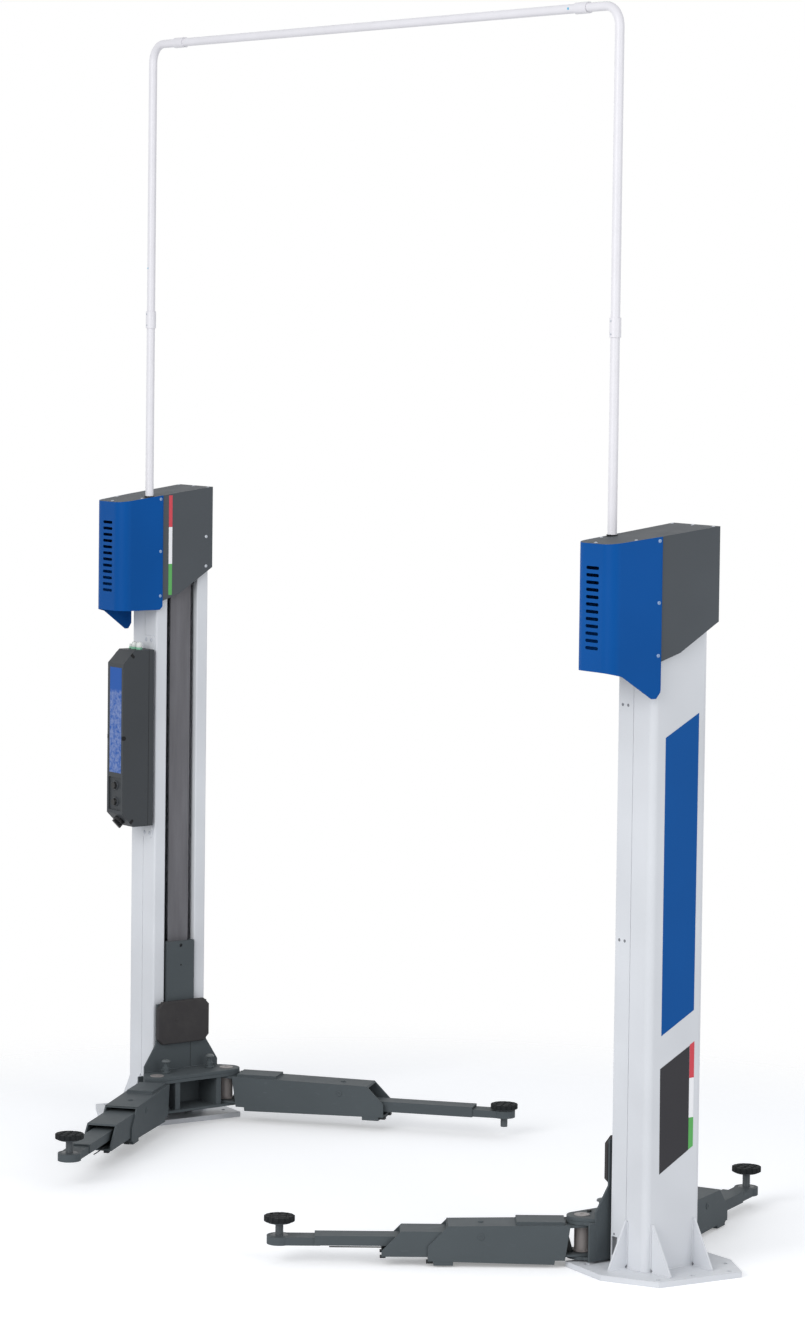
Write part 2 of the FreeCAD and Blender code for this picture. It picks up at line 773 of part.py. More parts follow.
def make_inner_arm(pad_reach, length, low_z, top_z, tip_low_z, shoe_half, shoe_low_z, shoe_top_z):
    end = pad_reach - tip_length
    start = end - length
    tube = square_tube(start, end, inner_width, low_z, top_z, arm_wall)
    shoe = block(start, start + shoe_length, -shoe_half, shoe_half, shoe_low_z, shoe_top_z)
    shoe = shoe.cut(block(start - 1, start + shoe_length + 1, -inner_width / 2 + arm_wall,
                          inner_width / 2 - arm_wall,
                          low_z + arm_wall, top_z - arm_wall))
    arm = join([tube, shoe, make_tip(pad_reach, tip_low_z)])
    return arm.cut(rod(stem_radius + stem_fit, 0, arm_root_top_z, pad_reach))


def make_front_inner(pad_reach):
    clear = arm_wall + slide_gap
    return make_inner_arm(pad_reach, inner_length, inner_low_z, inner_top_z, front_tip_low_z,
                          arm_width / 2 - 2 * clear, middle_low_z + clear, middle_top_z - clear)


def make_rear_inner(pad_reach):
    clear = arm_wall + slide_gap
    return make_inner_arm(pad_reach, rear_inner_length, rear_inner_low_z, rear_inner_top_z,
                          rear_tip_low_z,
                          arm_width / 2 - clear, arm_mouth_low_z + clear, arm_mouth_top_z - clear)


def make_stem(pad_reach, tip_low_z, dish_lift):
    tip_top = tip_low_z + tip_thickness
    dish_z = tip_top + dish_lift
    length = tip_thickness + stem_above + stem_below
    stem = rod(stem_radius, dish_z - length, dish_z + 1, pad_reach)
    dish = rod(dish_radius, dish_z, dish_z + dish_thickness, pad_reach)
    return join([stem, dish])


def make_rubber(pad_reach, tip_low_z, dish_lift):
    low = tip_low_z + tip_thickness + dish_lift + dish_thickness
    pad = rod(pad_radius, low, low + pad_thickness, pad_reach)
    rims = [e for e in pad.Edges if abs(e.BoundBox.ZLength) < 0.01]
    return pad.makeChamfer(pad_bevel, rims)


# Placing
def mirrored(shape):
    return shape.mirror(Vector(0, 0, 0), Vector(1, 0, 0))


def on_side(shape, side):
    return mirrored(shape) if side == "left" else shape


def turned(shape, side):
    # The base plates are alike, so the left one is the right one turned half round.
    result = shape.copy()
    if side == "left":
        result.rotate(Vector(0, 0, 0), Vector(0, 0, 1), 180.0)
    return result


def raised(shape, side):
    result = on_side(shape, side)
    if side == "left":
        result.translate(Vector(0, 0, left_raise))
    return result


def on_arm(shape, side, end):
    swing = rest[(side, end)]["swing"]
    sign = -1.0 if end == "front" else 1.0
    swung = shape.copy()
    swung.rotate(Vector(0, 0, 0), Vector(0, 0, 1), 180.0 - sign * swing)
    swung.translate(Vector(pivot_x, sign * pivot_y, 0))
    return raised(swung, side)


nodes = {}
for side in ("left", "right"):
    nodes[side + "_base_plate"] = turned(make_base_plate(), side)
    nodes[side + "_post"] = on_side(make_post(), side)
    nodes[side + "_gussets"] = on_side(make_gussets(), side)
    nodes[side + "_slot_band"] = on_side(make_band(), side)
    nodes[side + "_lift_screw"] = on_side(make_screw(), side)
    nodes[side + "_motor_cover"] = on_side(make_cover(), side)
    nodes[side + "_motor_housing"] = on_side(make_housing(), side)
    nodes[side + "_motor_deck"] = on_side(make_deck(), side)
    nodes[side + "_drive_motor"] = on_side(make_motor(), side)
    nodes[side + "_riser_pipe"] = on_side(make_riser(), side)
    nodes[side + "_pipe_grommet"] = on_side(make_grommet(), side)
    nodes[side + "_riser_sleeve"] = on_side(make_riser_sleeve(), side)
    nodes[side + "_cross_sleeve"] = on_side(make_cross_sleeve(), side)
    nodes[side + "_carriage"] = raised(make_carriage(), side)
    nodes[side + "_door_pad"] = raised(make_door_pad(), side)
    nodes[side + "_arm_pins"] = raised(make_pins(), side)
    nodes[side + "_arm_locks"] = raised(make_locks(), side)
    for end in ("front", "rear"):
        pose = rest[(side, end)]
        name = side + "_" + end
        if end == "front":
            outer = make_outer_arm(front_arm_length, front_doubler_end, middle_low_z)
            nodes[name + "_outer_arm"] = on_arm(outer, side, end)
            nodes[name + "_middle_arm"] = on_arm(make_middle_arm(pose["middle"]), side, end)
            nodes[name + "_inner_arm"] = on_arm(make_front_inner(pose["pad"]), side, end)
            tip_low = front_tip_low_z
        else:
            length = left_rear_arm_length if side == "left" else right_rear_arm_length
            outer = make_outer_arm(length, rear_doubler_end, rear_inner_low_z)
            nodes[name + "_outer_arm"] = on_arm(outer, side, end)
            nodes[name + "_inner_arm"] = on_arm(make_rear_inner(pose["pad"]), side, end)
            tip_low = rear_tip_low_z
        nodes[name + "_pad_stem"] = on_arm(make_stem(pose["pad"], tip_low, pose["dish"]), side, end)
        nodes[name + "_rubber_pad"] = on_arm(make_rubber(pose["pad"], tip_low, pose["dish"]), side, end)

nodes["cross_pipe"] = make_cross_pipe()
nodes["control_box"] = mirrored(make_control_box())
nodes["control_box_bracket"] = mirrored(make_bracket())
nodes["control_buttons"] = mirrored(make_buttons())
nodes["isolator_switch"] = mirrored(make_isolator())
nodes["cable_glands"] = mirrored(make_glands())

os.makedirs("parts", exist_ok=True)
for name, shape in nodes.items():
    shape.exportStep("parts/" + name + ".step")
print(len(nodes), "nodes written")
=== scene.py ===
import math
import bpy
import numpy as np
from mathutils import Matrix, Vector


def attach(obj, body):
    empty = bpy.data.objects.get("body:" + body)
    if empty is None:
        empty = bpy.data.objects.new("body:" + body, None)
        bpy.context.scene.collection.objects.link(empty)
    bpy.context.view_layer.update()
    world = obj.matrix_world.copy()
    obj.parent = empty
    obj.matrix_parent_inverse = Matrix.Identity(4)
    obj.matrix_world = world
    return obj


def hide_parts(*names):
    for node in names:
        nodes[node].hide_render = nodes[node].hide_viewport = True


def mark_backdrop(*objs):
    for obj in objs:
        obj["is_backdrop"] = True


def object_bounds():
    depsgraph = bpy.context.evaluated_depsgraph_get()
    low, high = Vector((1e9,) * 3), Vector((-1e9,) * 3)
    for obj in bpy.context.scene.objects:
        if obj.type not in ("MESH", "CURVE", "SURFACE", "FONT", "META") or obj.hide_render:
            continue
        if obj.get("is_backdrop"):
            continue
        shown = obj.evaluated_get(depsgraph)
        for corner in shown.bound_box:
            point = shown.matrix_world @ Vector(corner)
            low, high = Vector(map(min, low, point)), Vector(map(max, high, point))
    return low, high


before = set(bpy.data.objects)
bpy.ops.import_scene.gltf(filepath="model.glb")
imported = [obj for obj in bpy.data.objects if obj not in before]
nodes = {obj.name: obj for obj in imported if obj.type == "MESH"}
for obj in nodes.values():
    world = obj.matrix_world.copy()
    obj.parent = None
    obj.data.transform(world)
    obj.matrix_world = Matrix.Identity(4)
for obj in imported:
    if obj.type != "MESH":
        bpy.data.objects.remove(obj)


def saveBounds(key, book={}):
    low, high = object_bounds()
    book[key] = [[float(v) for v in low], [float(v) for v in high]]


saveBounds("loaded")
print("frame loaded", len(nodes))

sides = {"left": -1.0, "right": 1.0}

# Real sizes of the patterns in the finishes, in millimetres
looks = {
    "edgeRoundMm": 1.5,
    "wearMm": 1.6,
    "peelMm": 3.0,  # orange peel is about 1 mm, drawn coarser so that it shows
    "patchMm": 16.0,
    "shadeMm": 420.0,
    "scuffMm": 26.0,
    "glossMm": 70.0,
    "toolMarkMm": 2.0,
    "stainMm": 30.0,
    "rubberGrainMm": 1.6,
    "rubberCloudMm": 60.0,
    "mouldGrainMm": 2.2,
    "weftMm": 16.0,  # the weft is about 2 mm, drawn coarser so that it shows
    "filmMm": 55.0,
    "labelMm": 15.0,
}


def tint(code, factor=1.0):
    # sRGB hex to linear: a straight line near black, above it a power of 2.4
    parts = [int(code[i:i + 2], 16) / 255 for i in (1, 3, 5)]
    linear = [p / 12.92 if p <= 0.04045 else ((p + 0.055) / 1.055) ** 2.4 for p in parts]
    return (*[min(1.0, p * factor) for p in linear], 1.0)


def put(tree, kind, links=None, **settings):
    # Adds a node. Values go to inputs, node outputs are linked.
    made = tree.nodes.new("ShaderNode" + kind)
    for key, value in settings.items():
        setattr(made, key, value)
    for key, value in (links or {}).items():
        if isinstance(value, bpy.types.NodeSocket):
            tree.links.new(value, made.inputs[key])
        else:
            made.inputs[key].default_value = value
    return made


def newMaterial(name):
    # An empty finish, its node tree, and the object's own coordinates for its patterns
    made = bpy.data.materials.new(name)
    made.use_nodes = True
    tree = made.node_tree
    tree.nodes.clear()
    return made, tree, put(tree, "TexCoord").outputs["Object"]


def ramp(tree, source, low, high):
    # Black below the low value, white above the high one
    made = put(tree, "ValToRGB", {"Fac": source})
    made.color_ramp.elements[0].position = low
    made.color_ramp.elements[1].position = high
    return made.outputs["Color"]


def blendColour(tree, fac, a, b):
    # From a to b by fac. The Mix node takes colours at its inputs 6 and 7 and gives one at output 2.
    made = put(tree, "Mix", {0: fac, 6: a, 7: b}, data_type="RGBA")
    return made.outputs[2]


def maths(tree, kind, a, b=0.0, clamp=False):
    return put(tree, "Math", {0: a, 1: b}, operation=kind, use_clamp=clamp).outputs[0]


def noise(tree, coords, sizeMm, detail=4.0, rough=0.55, stretch=None):
    # Noise whose patches are about sizeMm across, drawn out where stretch is below 1
    source = coords
    if stretch:
        source = put(tree, "Mapping", {"Vector": coords, "Scale": stretch}).outputs[0]
    return put(tree, "TexNoise", {"Vector": source, "Scale": 1000.0 / sizeMm, "Detail": detail,
                                  "Roughness": rough}).outputs["Fac"]


def surface(made, tree, sockets):
    # Closes a finish: the sockets' values and links into one shader, and that into the output
    shader = put(tree, "BsdfPrincipled", sockets)
    put(tree, "OutputMaterial", {"Surface": shader.outputs[0]})
    return made


# Paint over steel: fine orange peel, broad shade changes, dust on level faces and rubbed edges.
# An edge is where the normal of a rounded corner leaves the face's own: 1 minus their dot product.
def paint(name, code, roughness, wear=0.0, dust=0.0, under="#8A8580", scuffs=0.0, shine=0.35):
    made, tree, coords = newMaterial(name)
    shape = put(tree, "NewGeometry")
    rounded = put(tree, "Bevel", {"Radius": looks["edgeRoundMm"] / 1000}, samples=4)
    edge = put(tree, "Bevel", {"Radius": looks["wearMm"] / 1000}, samples=4)
    turn = put(tree, "VectorMath", {0: edge.outputs[0], 1: shape.outputs["Normal"]},
               operation="DOT_PRODUCT")
    patch = noise(tree, coords, looks["patchMm"], 6.0, 0.65)
    edgeMask = ramp(tree, maths(tree, "SUBTRACT", 1.0, turn.outputs["Value"]), 0.01, 0.12)
    edgeMask = maths(tree, "MULTIPLY", edgeMask, ramp(tree, patch, 0.56, 0.66))
    edgeMask = maths(tree, "MULTIPLY", edgeMask, wear, True)
    broad = noise(tree, coords, looks["shadeMm"], 2.0)
    base = blendColour(tree, ramp(tree, broad, 0.3, 0.7), tint(code, 0.93), tint(code, 1.05))
    if scuffs > 0:
        # Long thin marks left by tyres and tools
        mark = noise(tree, coords, looks["scuffMm"], 8.0, 0.6, (1.0, 0.16, 2.2))
        base = blendColour(tree, maths(tree, "MULTIPLY", ramp(tree, mark, 0.62, 0.70), scuffs),
                           base, tint(code, 1.9))
    up = put(tree, "SeparateXYZ", {0: shape.outputs["Normal"]}).outputs["Z"]
    dustMask = maths(tree, "MULTIPLY", ramp(tree, up, 0.55, 0.95), ramp(tree, patch, 0.35, 0.75))
    dustMask = maths(tree, "MULTIPLY", dustMask, dust, True)
    base = blendColour(tree, dustMask, base, tint("#A5A29B"))
    base = blendColour(tree, edgeMask, base, tint(under))
    gloss = noise(tree, coords, looks["glossMm"], 5.0)
    rough = maths(tree, "ADD", roughness - 0.06, maths(tree, "MULTIPLY", gloss, 0.14))
    rough = maths(tree, "ADD", rough, maths(tree, "MULTIPLY", dustMask, 0.4), True)
    peel = put(tree, "Bump", {"Height": noise(tree, coords, looks["peelMm"], 2.0), "Strength": 0.12,
                              "Distance": 0.0004, "Normal": rounded.outputs[0]})
    return surface(made, tree, {"Base Color": base, "Roughness": rough, "Normal": peel.outputs[0],
                                "Specular IOR Level": shine})


# Bare steel with fine rubbing marks along it and darker stains
def metal(name, code, roughness):
    made, tree, coords = newMaterial(name)
    rounded = put(tree, "Bevel", {"Radius": 0.0008}, samples=4)
    marks = noise(tree, coords, looks["toolMarkMm"], 6.0, 0.6, (1.0, 1.0, 0.1))
    stain = noise(tree, coords, looks["stainMm"], 5.0)
    base = blendColour(tree, ramp(tree, stain, 0.4, 0.75), tint(code), tint(code, 0.62))
    rough = maths(tree, "ADD", roughness, maths(tree, "MULTIPLY", marks, 0.22), True)
    bump = put(tree, "Bump", {"Height": marks, "Strength": 0.15, "Distance": 0.0002,
                              "Normal": rounded.outputs[0]})
    return surface(made, tree, {"Base Color": base, "Metallic": 1.0, "Roughness": rough,
                                "Normal": bump.outputs[0]})


# Moulded rubber, dull and a little dusty in its grain
def rubber(name, code, dust):
    made, tree, coords = newMaterial(name)
    rounded = put(tree, "Bevel", {"Radius": 0.0012}, samples=4)
    grain = noise(tree, coords, looks["rubberGrainMm"], 3.0)
    cloud = noise(tree, coords, looks["rubberCloudMm"], 5.0)
    dustMask = maths(tree, "MULTIPLY", ramp(tree, cloud, 0.42, 0.72), dust)
    base = blendColour(tree, dustMask, tint(code), tint("#77746F"))
    bump = put(tree, "Bump", {"Height": grain, "Strength": 0.3, "Distance": 0.0003,
                              "Normal": rounded.outputs[0]})
    rough = maths(tree, "ADD", 0.62, maths(tree, "MULTIPLY", cloud, 0.25), True)
    return surface(made, tree, {"Base Color": base, "Roughness": rough, "Normal": bump.outputs[0],
                                "Specular IOR Level": 0.2})


# Smooth even skin of a moulded, printed or plated small part
def plastic(name, code, roughness, cloudMm=90.0, shine=0.35):
    made, tree, coords = newMaterial(name)
    rounded = put(tree, "Bevel", {"Radius": 0.001}, samples=4)
    cloud = noise(tree, coords, cloudMm, 4.0)
    base = blendColour(tree, cloud, tint(code, 0.93), tint(code, 1.04))
    rough = maths(tree, "ADD", roughness - 0.05, maths(tree, "MULTIPLY", cloud, 0.14), True)
    grain = noise(tree, coords, looks["mouldGrainMm"], 2.0)
    bump = put(tree, "Bump", {"Height": grain, "Strength": 0.05, "Distance": 0.0003,
                              "Normal": rounded.outputs[0]})
    return surface(made, tree, {"Base Color": base, "Roughness": rough, "Normal": bump.outputs[0],
                                "Specular IOR Level": shine})


# Cut vinyl film: one flat colour with very broad shade changes and little gloss
def vinyl(name, code, roughness=0.35):
    return plastic(name, code, roughness, 200.0, 0.1)


# Woven band that hides the screw: weft lines across, a dirty film along it
def webbing(name, code):
    made, tree, coords = newMaterial(name)
    weft = put(tree, "TexWave", {"Vector": coords, "Scale": 1000.0 / looks["weftMm"],
                                 "Distortion": 0.6, "Detail": 2.0},
               wave_type="BANDS", bands_direction="Z")
    film = noise(tree, coords, looks["filmMm"], 5.0, 0.6, (1.0, 1.0, 0.12))
    base = blendColour(tree, ramp(tree, film, 0.35, 0.75), tint(code, 1.1), tint(code, 0.7))
    bump = put(tree, "Bump", {"Height": weft.outputs["Fac"], "Strength": 0.35, "Distance": 0.0004})
    return surface(made, tree, {"Base Color": base, "Roughness": 0.75, "Normal": bump.outputs[0]})


# Printed label: pale mottled patches stand in for its pictures, below a plain top
def mottled(name, code):
    made, tree, coords = newMaterial(name)
    patch = ramp(tree, noise(tree, coords, looks["labelMm"], 5.0, 0.7), 0.36, 0.62)
    height = put(tree, "SeparateXYZ", {0: coords}).outputs["Z"]
    below = ramp(tree, maths(tree, "SUBTRACT", 1.95, height), 0.215, 0.225)
    share = maths(tree, "MULTIPLY", maths(tree, "MULTIPLY", patch, below), 0.3)
    base = blendColour(tree, share, tint(code), tint("#C9CFDC"))
    return surface(made, tree, {"Base Color": base, "Roughness": 0.4, "Specular IOR Level": 0.12})


finishes = {
    # Polyester powder coat on folded sheet: even satin colour, hardly worn
    "whitePowderCoat": (paint, "#D6D8DC", {"roughness": 0.36, "wear": 0.15, "dust": 0.2, "shine": 0.22}),
    "bluePowderCoat": (paint, "#0B5098", {"roughness": 0.42, "wear": 0.1, "dust": 0.03, "under": "#9AA4B0",
                                          "shine": 0.06}),
    "greyPowderCoat": (paint, "#52565A", {"roughness": 0.5, "wear": 0.12, "dust": 0.02, "shine": 0.08}),
    "boxPowderCoat": (paint, "#3F4245", {"roughness": 0.48, "wear": 0.1, "dust": 0.03, "shine": 0.2}),
    # The same coat near the floor, with more rubbed edges
    "floorPowderCoat": (paint, "#D6D8DC", {"roughness": 0.38, "wear": 0.25, "dust": 0.12, "shine": 0.25}),
    # Sprayed enamel on welded arms: duller, scuffed along its length
    "armEnamel": (paint, "#4F5558", {"roughness": 0.52, "wear": 0.2, "dust": 0.05, "under": "#74726F",
                                     "scuffs": 0.18, "shine": 0.1}),
    # Sprayed over a rough casting, no wear under its cover
    "castMotor": (paint, "#2B3038", {"roughness": 0.5}),
    # Grey phosphate on the pad screws: dark, with rubbed crests
    "phosphatedSteel": (paint, "#4B5053", {"roughness": 0.4, "wear": 0.3}),
    # Zinc plate gone dull: warm pale grey, soft highlights
    "platedPin": (paint, "#9C9592", {"roughness": 0.42}),
    "platedHead": (paint, "#8B8684", {"roughness": 0.4}),
    # Lacquered steel caps that hands keep clean
    "knobLacquer": (paint, "#5C6163", {"roughness": 0.4, "wear": 0.3, "dust": 0.1}),
    # Black oxide on stops, rods and bolts: nearly black, brown where rubbed. On the stop rib it is painted
    # shade.
    "blackOxide": (paint, "#26292B", {"roughness": 0.5, "wear": 0.3, "dust": 0.15, "under": "#6E6A66"}),
    # Turned steel in oil: streaked along the screw, darker stains
    "oiledSteel": (metal, "#8E9094", {"roughness": 0.3}),
    # Woven polyester band: matt, ribbed across
    "wovenBand": (webbing, "#68676B", {}),
    # Extruded PVC: smooth, slightly glossy
    "pvcPipe": (plastic, "#E3E1E5", {"roughness": 0.3}),
    # Moulded rubber: black and matt, paler with dust on the doors' pads
    "mouldedRubber": (rubber, "#1B1E20", {"dust": 0.06}),
    "dustyRubber": (rubber, "#393738", {"dust": 0.07}),
    # Blue and clear zinc plate on screws: small pale points
    "blueZinc": (plastic, "#8DA6C8", {"roughness": 0.4}),
    "clearZinc": (plastic, "#C4C8CF", {"roughness": 0.35}),
    # Painted shade: flat dark and grey colours stand in for the unlit insides of open holes, recesses and
    # corners. The dark one also draws the dark seams.
    "darkSeamsAndPaintedShade": (plastic, "#101112", {"roughness": 0.8}),
    "greyPaintedShade": (plastic, "#7C7E83", {"roughness": 0.8}),
    # Moulded nylon: satin, even
    # Grey nylon of the button rings, a little lighter than the box: partly painted highlight
    "greyNylonAndHighlight": (plastic, "#4B4E52", {"roughness": 0.4}),
    "blackNylon": (plastic, "#17181A", {"roughness": 0.3}),
    "whiteNylon": (plastic, "#E6E8E4", {"roughness": 0.4}),
    "greenNylon": (plastic, "#86BFA0", {"roughness": 0.35}),
    "cyanNylon": (plastic, "#4FB3D9", {"roughness": 0.4}),
    # Cut vinyl film on the posts: flat colour, little gloss
    "blueVinyl": (vinyl, "#0F5298", {}),
    "darkVinyl": (vinyl, "#3D3C3F", {"roughness": 0.4}),
    "redVinyl": (vinyl, "#D2505A", {}),
    "whiteVinyl": (vinyl, "#F2F2F4", {}),
    "greenVinyl": (vinyl, "#63AE62", {}),
    # Printed vinyl of the control box
    "printedVinyl": (mottled, "#2657A4", {}),
}

mats = {name: make(name, code, **settings) for name, (make, code, settings) in finishes.items()}

nodeLooks = {
    "base_plate": "floorPowderCoat", "post": "whitePowderCoat", "gussets": "floorPowderCoat",
    "slot_band": "wovenBand", "lift_screw": "oiledSteel", "motor_cover": "bluePowderCoat",
    "motor_housing": "greyPowderCoat", "motor_deck": "greyPowderCoat", "drive_motor": "castMotor",
    "riser_pipe": "pvcPipe", "riser_sleeve": "pvcPipe", "cross_sleeve": "pvcPipe", "cross_pipe": "pvcPipe",
    "pipe_grommet": "mouldedRubber", "carriage": "armEnamel", "door_pad": "dustyRubber",
    "arm_pins": "platedPin", "arm_locks": "blackNylon", "outer_arm": "armEnamel", "middle_arm": "armEnamel",
    "inner_arm": "armEnamel", "pad_stem": "phosphatedSteel", "rubber_pad": "mouldedRubber",
    "control_box": "boxPowderCoat", "control_box_bracket": "whitePowderCoat",
    "control_buttons": "blackNylon", "isolator_switch": "blackNylon", "cable_glands": "whiteNylon",
}

for nodeName, thing in nodes.items():
    plain = nodeName
    for prefix in ("left_", "right_", "front_", "rear_"):
        plain = plain.removeprefix(prefix)
    thing.data.materials.clear()
    thing.data.materials.append(mats[nodeLooks[plain]])
print("materials on", len(nodes), "nodes")


# Helpers that build closed surfaces as arrays of points and faces, in metres
def circle(count):
    # Even angles once round
    return np.linspace(0, 2 * math.pi, count, endpoint=False)


def ringFaces(rows, around, closed=False):
    # Four-sided faces between neighbouring rings of points, and lids unless the last ring meets the first
    faces = []
    for i in range(rows if closed else rows - 1):
        a, b = i * around, (i + 1) % rows * around
        faces += [(a + j, a + (j + 1) % around, b + (j + 1) % around, b + j) for j in range(around)]
    if not closed:
        faces += [tuple(reversed(range(around))), tuple(range((rows - 1) * around, rows * around))]
    return faces


def lathe(profile, place=(0, 0, 0), axis=(0, 0, 1), turns=32, closed=False):
    # A profile of (radius, height) turned about an axis: place plus radius round it plus height along it
    rows = np.array(profile, float)
    spin = circle(turns)
    up = np.array(axis, float) / np.linalg.norm(axis)
    across = np.cross(up, (0, 0, 1) if abs(up[2]) < 0.9 else (1, 0, 0))
    across /= np.linalg.norm(across)
    ring = np.cos(spin)[:, None] * across + np.sin(spin)[:, None] * np.cross(up, across)
    points = np.array(place, float) + rows[:, :1, None] * ring[None] + rows[:, 1, None, None] * up
    return points.reshape(-1, 3), ringFaces(len(rows), turns, closed)


def prism(outline, push):
    # A flat outline pushed along a vector
    low = np.array(outline, float)
    count = len(low)
    walls = [(i, (i + 1) % count, count + (i + 1) % count, count + i) for i in range(count)]
    caps = [tuple(reversed(range(count))), tuple(range(count, 2 * count))]
    return np.concatenate([low, low + np.array(push, float)]), walls + caps


def cuboid(low, high):
    # A rectangle from the lowest corner, pushed up to the highest
    a, b = np.array(low, float), np.array(high, float)
    outline = [(a[0], a[1], a[2]), (b[0], a[1], a[2]), (b[0], b[1], a[2]), (a[0], b[1], a[2])]
    return prism(outline, (0, 0, b[2] - a[2]))


def sweep(path, radius, turns=10):
    # A round bar along a line of points. Each ring keeps the last one's direction, less what
    # lies along the line, so the bar doesn't twist.
    line = np.array(path, float)
    ahead = np.gradient(line, axis=0)
    ahead /= np.linalg.norm(ahead, axis=1)[:, None]
    across = np.cross(ahead[0], (0, 0, 1) if abs(ahead[0][2]) < 0.9 else (1, 0, 0))
    spin = circle(turns)
    points = []
    for spot, way, size in zip(line, ahead, np.broadcast_to(radius, len(line))):
        across = across - way * np.dot(across, way)
        across /= np.linalg.norm(across)
        points.append(spot + size * (np.cos(spin)[:, None] * across
                                     + np.sin(spin)[:, None] * np.cross(way, across)))
    return np.concatenate(points), ringFaces(len(line), turns)


def weldBead(start, end, radius=0.003, step=0.005):
    # Ripples of a weld between two points: the radius swells and shrinks at every half step,
    # with a slower sine over it
    start, end = np.array(start, float), np.array(end, float)
    count = max(3, int(np.linalg.norm(end - start) / step) * 2 + 1)
    share = np.linspace(0, 1, count)[:, None]
    wave = np.arange(count)
    swell = radius * (1.0 + 0.16 * np.cos(wave * math.pi) + 0.07 * np.sin(wave * 1.7))
    return sweep(start + (end - start) * share, swell, 7)


def volume(points, faces):
    # Six times the volume: each face is fanned into triangles, and each adds its triple product
    centre = points.mean(0)
    total = 0.0
    for face in faces:
        a = points[face[0]] - centre
        for i in range(1, len(face) - 1):
            total += np.dot(a, np.cross(points[face[i]] - centre, points[face[i + 1]] - centre))
    return total


def addPiece(name, parts, look, body, bevelMm=0.0, angle=35.0):
    # One object from closed parts. A part whose volume comes out negative is turned right side out.
    allPoints, allFaces, start = [], [], 0
    for points, faces in parts:
        flip = volume(points, faces) < 0
        allFaces += [tuple(start + i for i in (reversed(f) if flip else f)) for f in faces]
        allPoints.append(points)
        start += len(points)
    mesh = bpy.data.meshes.new(name)
    mesh.from_pydata(np.concatenate(allPoints).tolist(), [], allFaces)
    mesh.polygons.foreach_set("use_smooth", [True] * len(mesh.polygons))
    mesh.set_sharp_from_angle(angle=math.radians(angle))
    mesh.materials.append(mats[look])
    mesh.update()
    made = bpy.data.objects.new(name, mesh)
    bpy.context.scene.collection.objects.link(made)
    if bevelMm:
        rounding = made.modifiers.new("edges", "BEVEL")
        rounding.width = bevelMm / 1000
        rounding.segments = 2
        rounding.limit_method = "ANGLE"
    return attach(made, body)


lift = {
    "leftRaise": 0.037,
    "pivotX": 1.319,
    "pivotY": 0.165,
    "postOuterX": 1.6,
    "postFaceY": -0.122,
}

# Each arm's swing from straight across, its lengths from the pin, and the heights of tip and dish
arms = {
    ("left", "front"): {"swing": 50.5, "length": 0.525, "mouth": 0.762, "pad": 1.080,
                        "tip": 0.064, "dish": 0.048},
    ("right", "front"): {"swing": 54.0, "length": 0.525, "mouth": 0.682, "pad": 1.030,
                         "tip": 0.064, "dish": 0.044},
    ("left", "rear"): {"swing": 39.0, "length": 0.665, "pad": 1.140, "tip": 0.042, "dish": 0.001},
    ("right", "rear"): {"swing": 65.0, "length": 0.475, "pad": 0.795, "tip": 0.042, "dish": 0.052},
}


def onSide(part, side, rise=True):
    # From the right post to the given side. What hangs on the left carriage rests higher.
    points = part[0] * (sides[side], 1.0, 1.0)
    return (points + (0, 0, lift["leftRaise"] if side == "left" and rise else 0.0), part[1])


def onArm(part, side, end):
    # From an arm lying along +X at its pivot to its place: a turn about Z, then the pivot added
    sign = -1.0 if end == "front" else 1.0
    turn = math.pi - sign * math.radians(arms[(side, end)]["swing"])
    points = part[0]
    placed = np.stack([points[:, 0] * math.cos(turn) - points[:, 1] * math.sin(turn) + lift["pivotX"],
                       points[:, 0] * math.sin(turn) + points[:, 1] * math.cos(turn) + sign * lift["pivotY"],
                       points[:, 2]], 1)
    return onSide((placed, part[1]), side)


# Rubber pads: notched rim, raised blocks between grooves on top
padShape = {
    "radius": 0.053,
    "height": 0.018,
    "rim": [(0.86, 0.0), (0.9, 0.0), (0.955, 0.0), (0.99, 0.02), (1.0, 0.08), (1.0, 0.9), (0.99, 0.97)],
    "topFrom": 0.97,
    "topTo": 0.02,
    "notches": 16,
    "notchDepth": 0.0035,
    "grooveWidth": 0.008,
    "grooveDepth": 0.0045,
    "grooves": 3,
    "around": 160,
    "rings": 30,
}

# Screwed stem with its dish under each pad, and the collar at the arm's tip that it turns in
screwShape = {
    "crest": 0.014,
    "root": 0.0132,
    "pitch": 0.0042,
    "length": 0.067,
    "dish": 0.042,
    "dishHeight": 0.005,
    "tipHeight": 0.028,
    "collar": [(0.0148, -0.001), (0.03, -0.001), (0.03, 0.0003), (0.029, 0.0007), (0.0148, 0.0007)],
    "collarRoom": 0.01,
}


def padSurface(low, reach):
    # Rings of points from the rim up and in to the middle. The rim steps in where a cosine of
    # the angle peaks, and the top dips near whole multiples of the groove pitch in x and in y.
    p = padShape
    spin = circle(p["around"])
    wave = 0.5 + 0.5 * np.cos(spin * p["notches"])
    notch = p["notchDepth"] * np.clip((wave - 0.72) / 0.2, 0, 1)
    shells = [(p["radius"] * r - notch * (r > 0.95), np.full(p["around"], low + p["height"] * h))
              for r, h in p["rim"]]
    pitch = 2 * p["radius"] / (p["grooves"] + 1)
    for r in np.linspace(p["topFrom"], p["topTo"], p["rings"]):
        radius = p["radius"] * r - notch * (r > 0.95)
        x, y = radius * np.cos(spin), radius * np.sin(spin)
        near = np.minimum(np.abs(x - pitch * np.round(x / pitch)), np.abs(y - pitch * np.round(y / pitch)))
        dip = 1 - np.clip((near - p["grooveWidth"] * 0.35) / (p["grooveWidth"] * 0.25), 0, 1)
        shells.append((radius, low + p["height"] - p["grooveDepth"] * dip))
    points = np.concatenate([np.stack([reach + r * np.cos(spin), r * np.sin(spin), z], 1) for r, z in shells])
    return points, ringFaces(len(shells), p["around"])


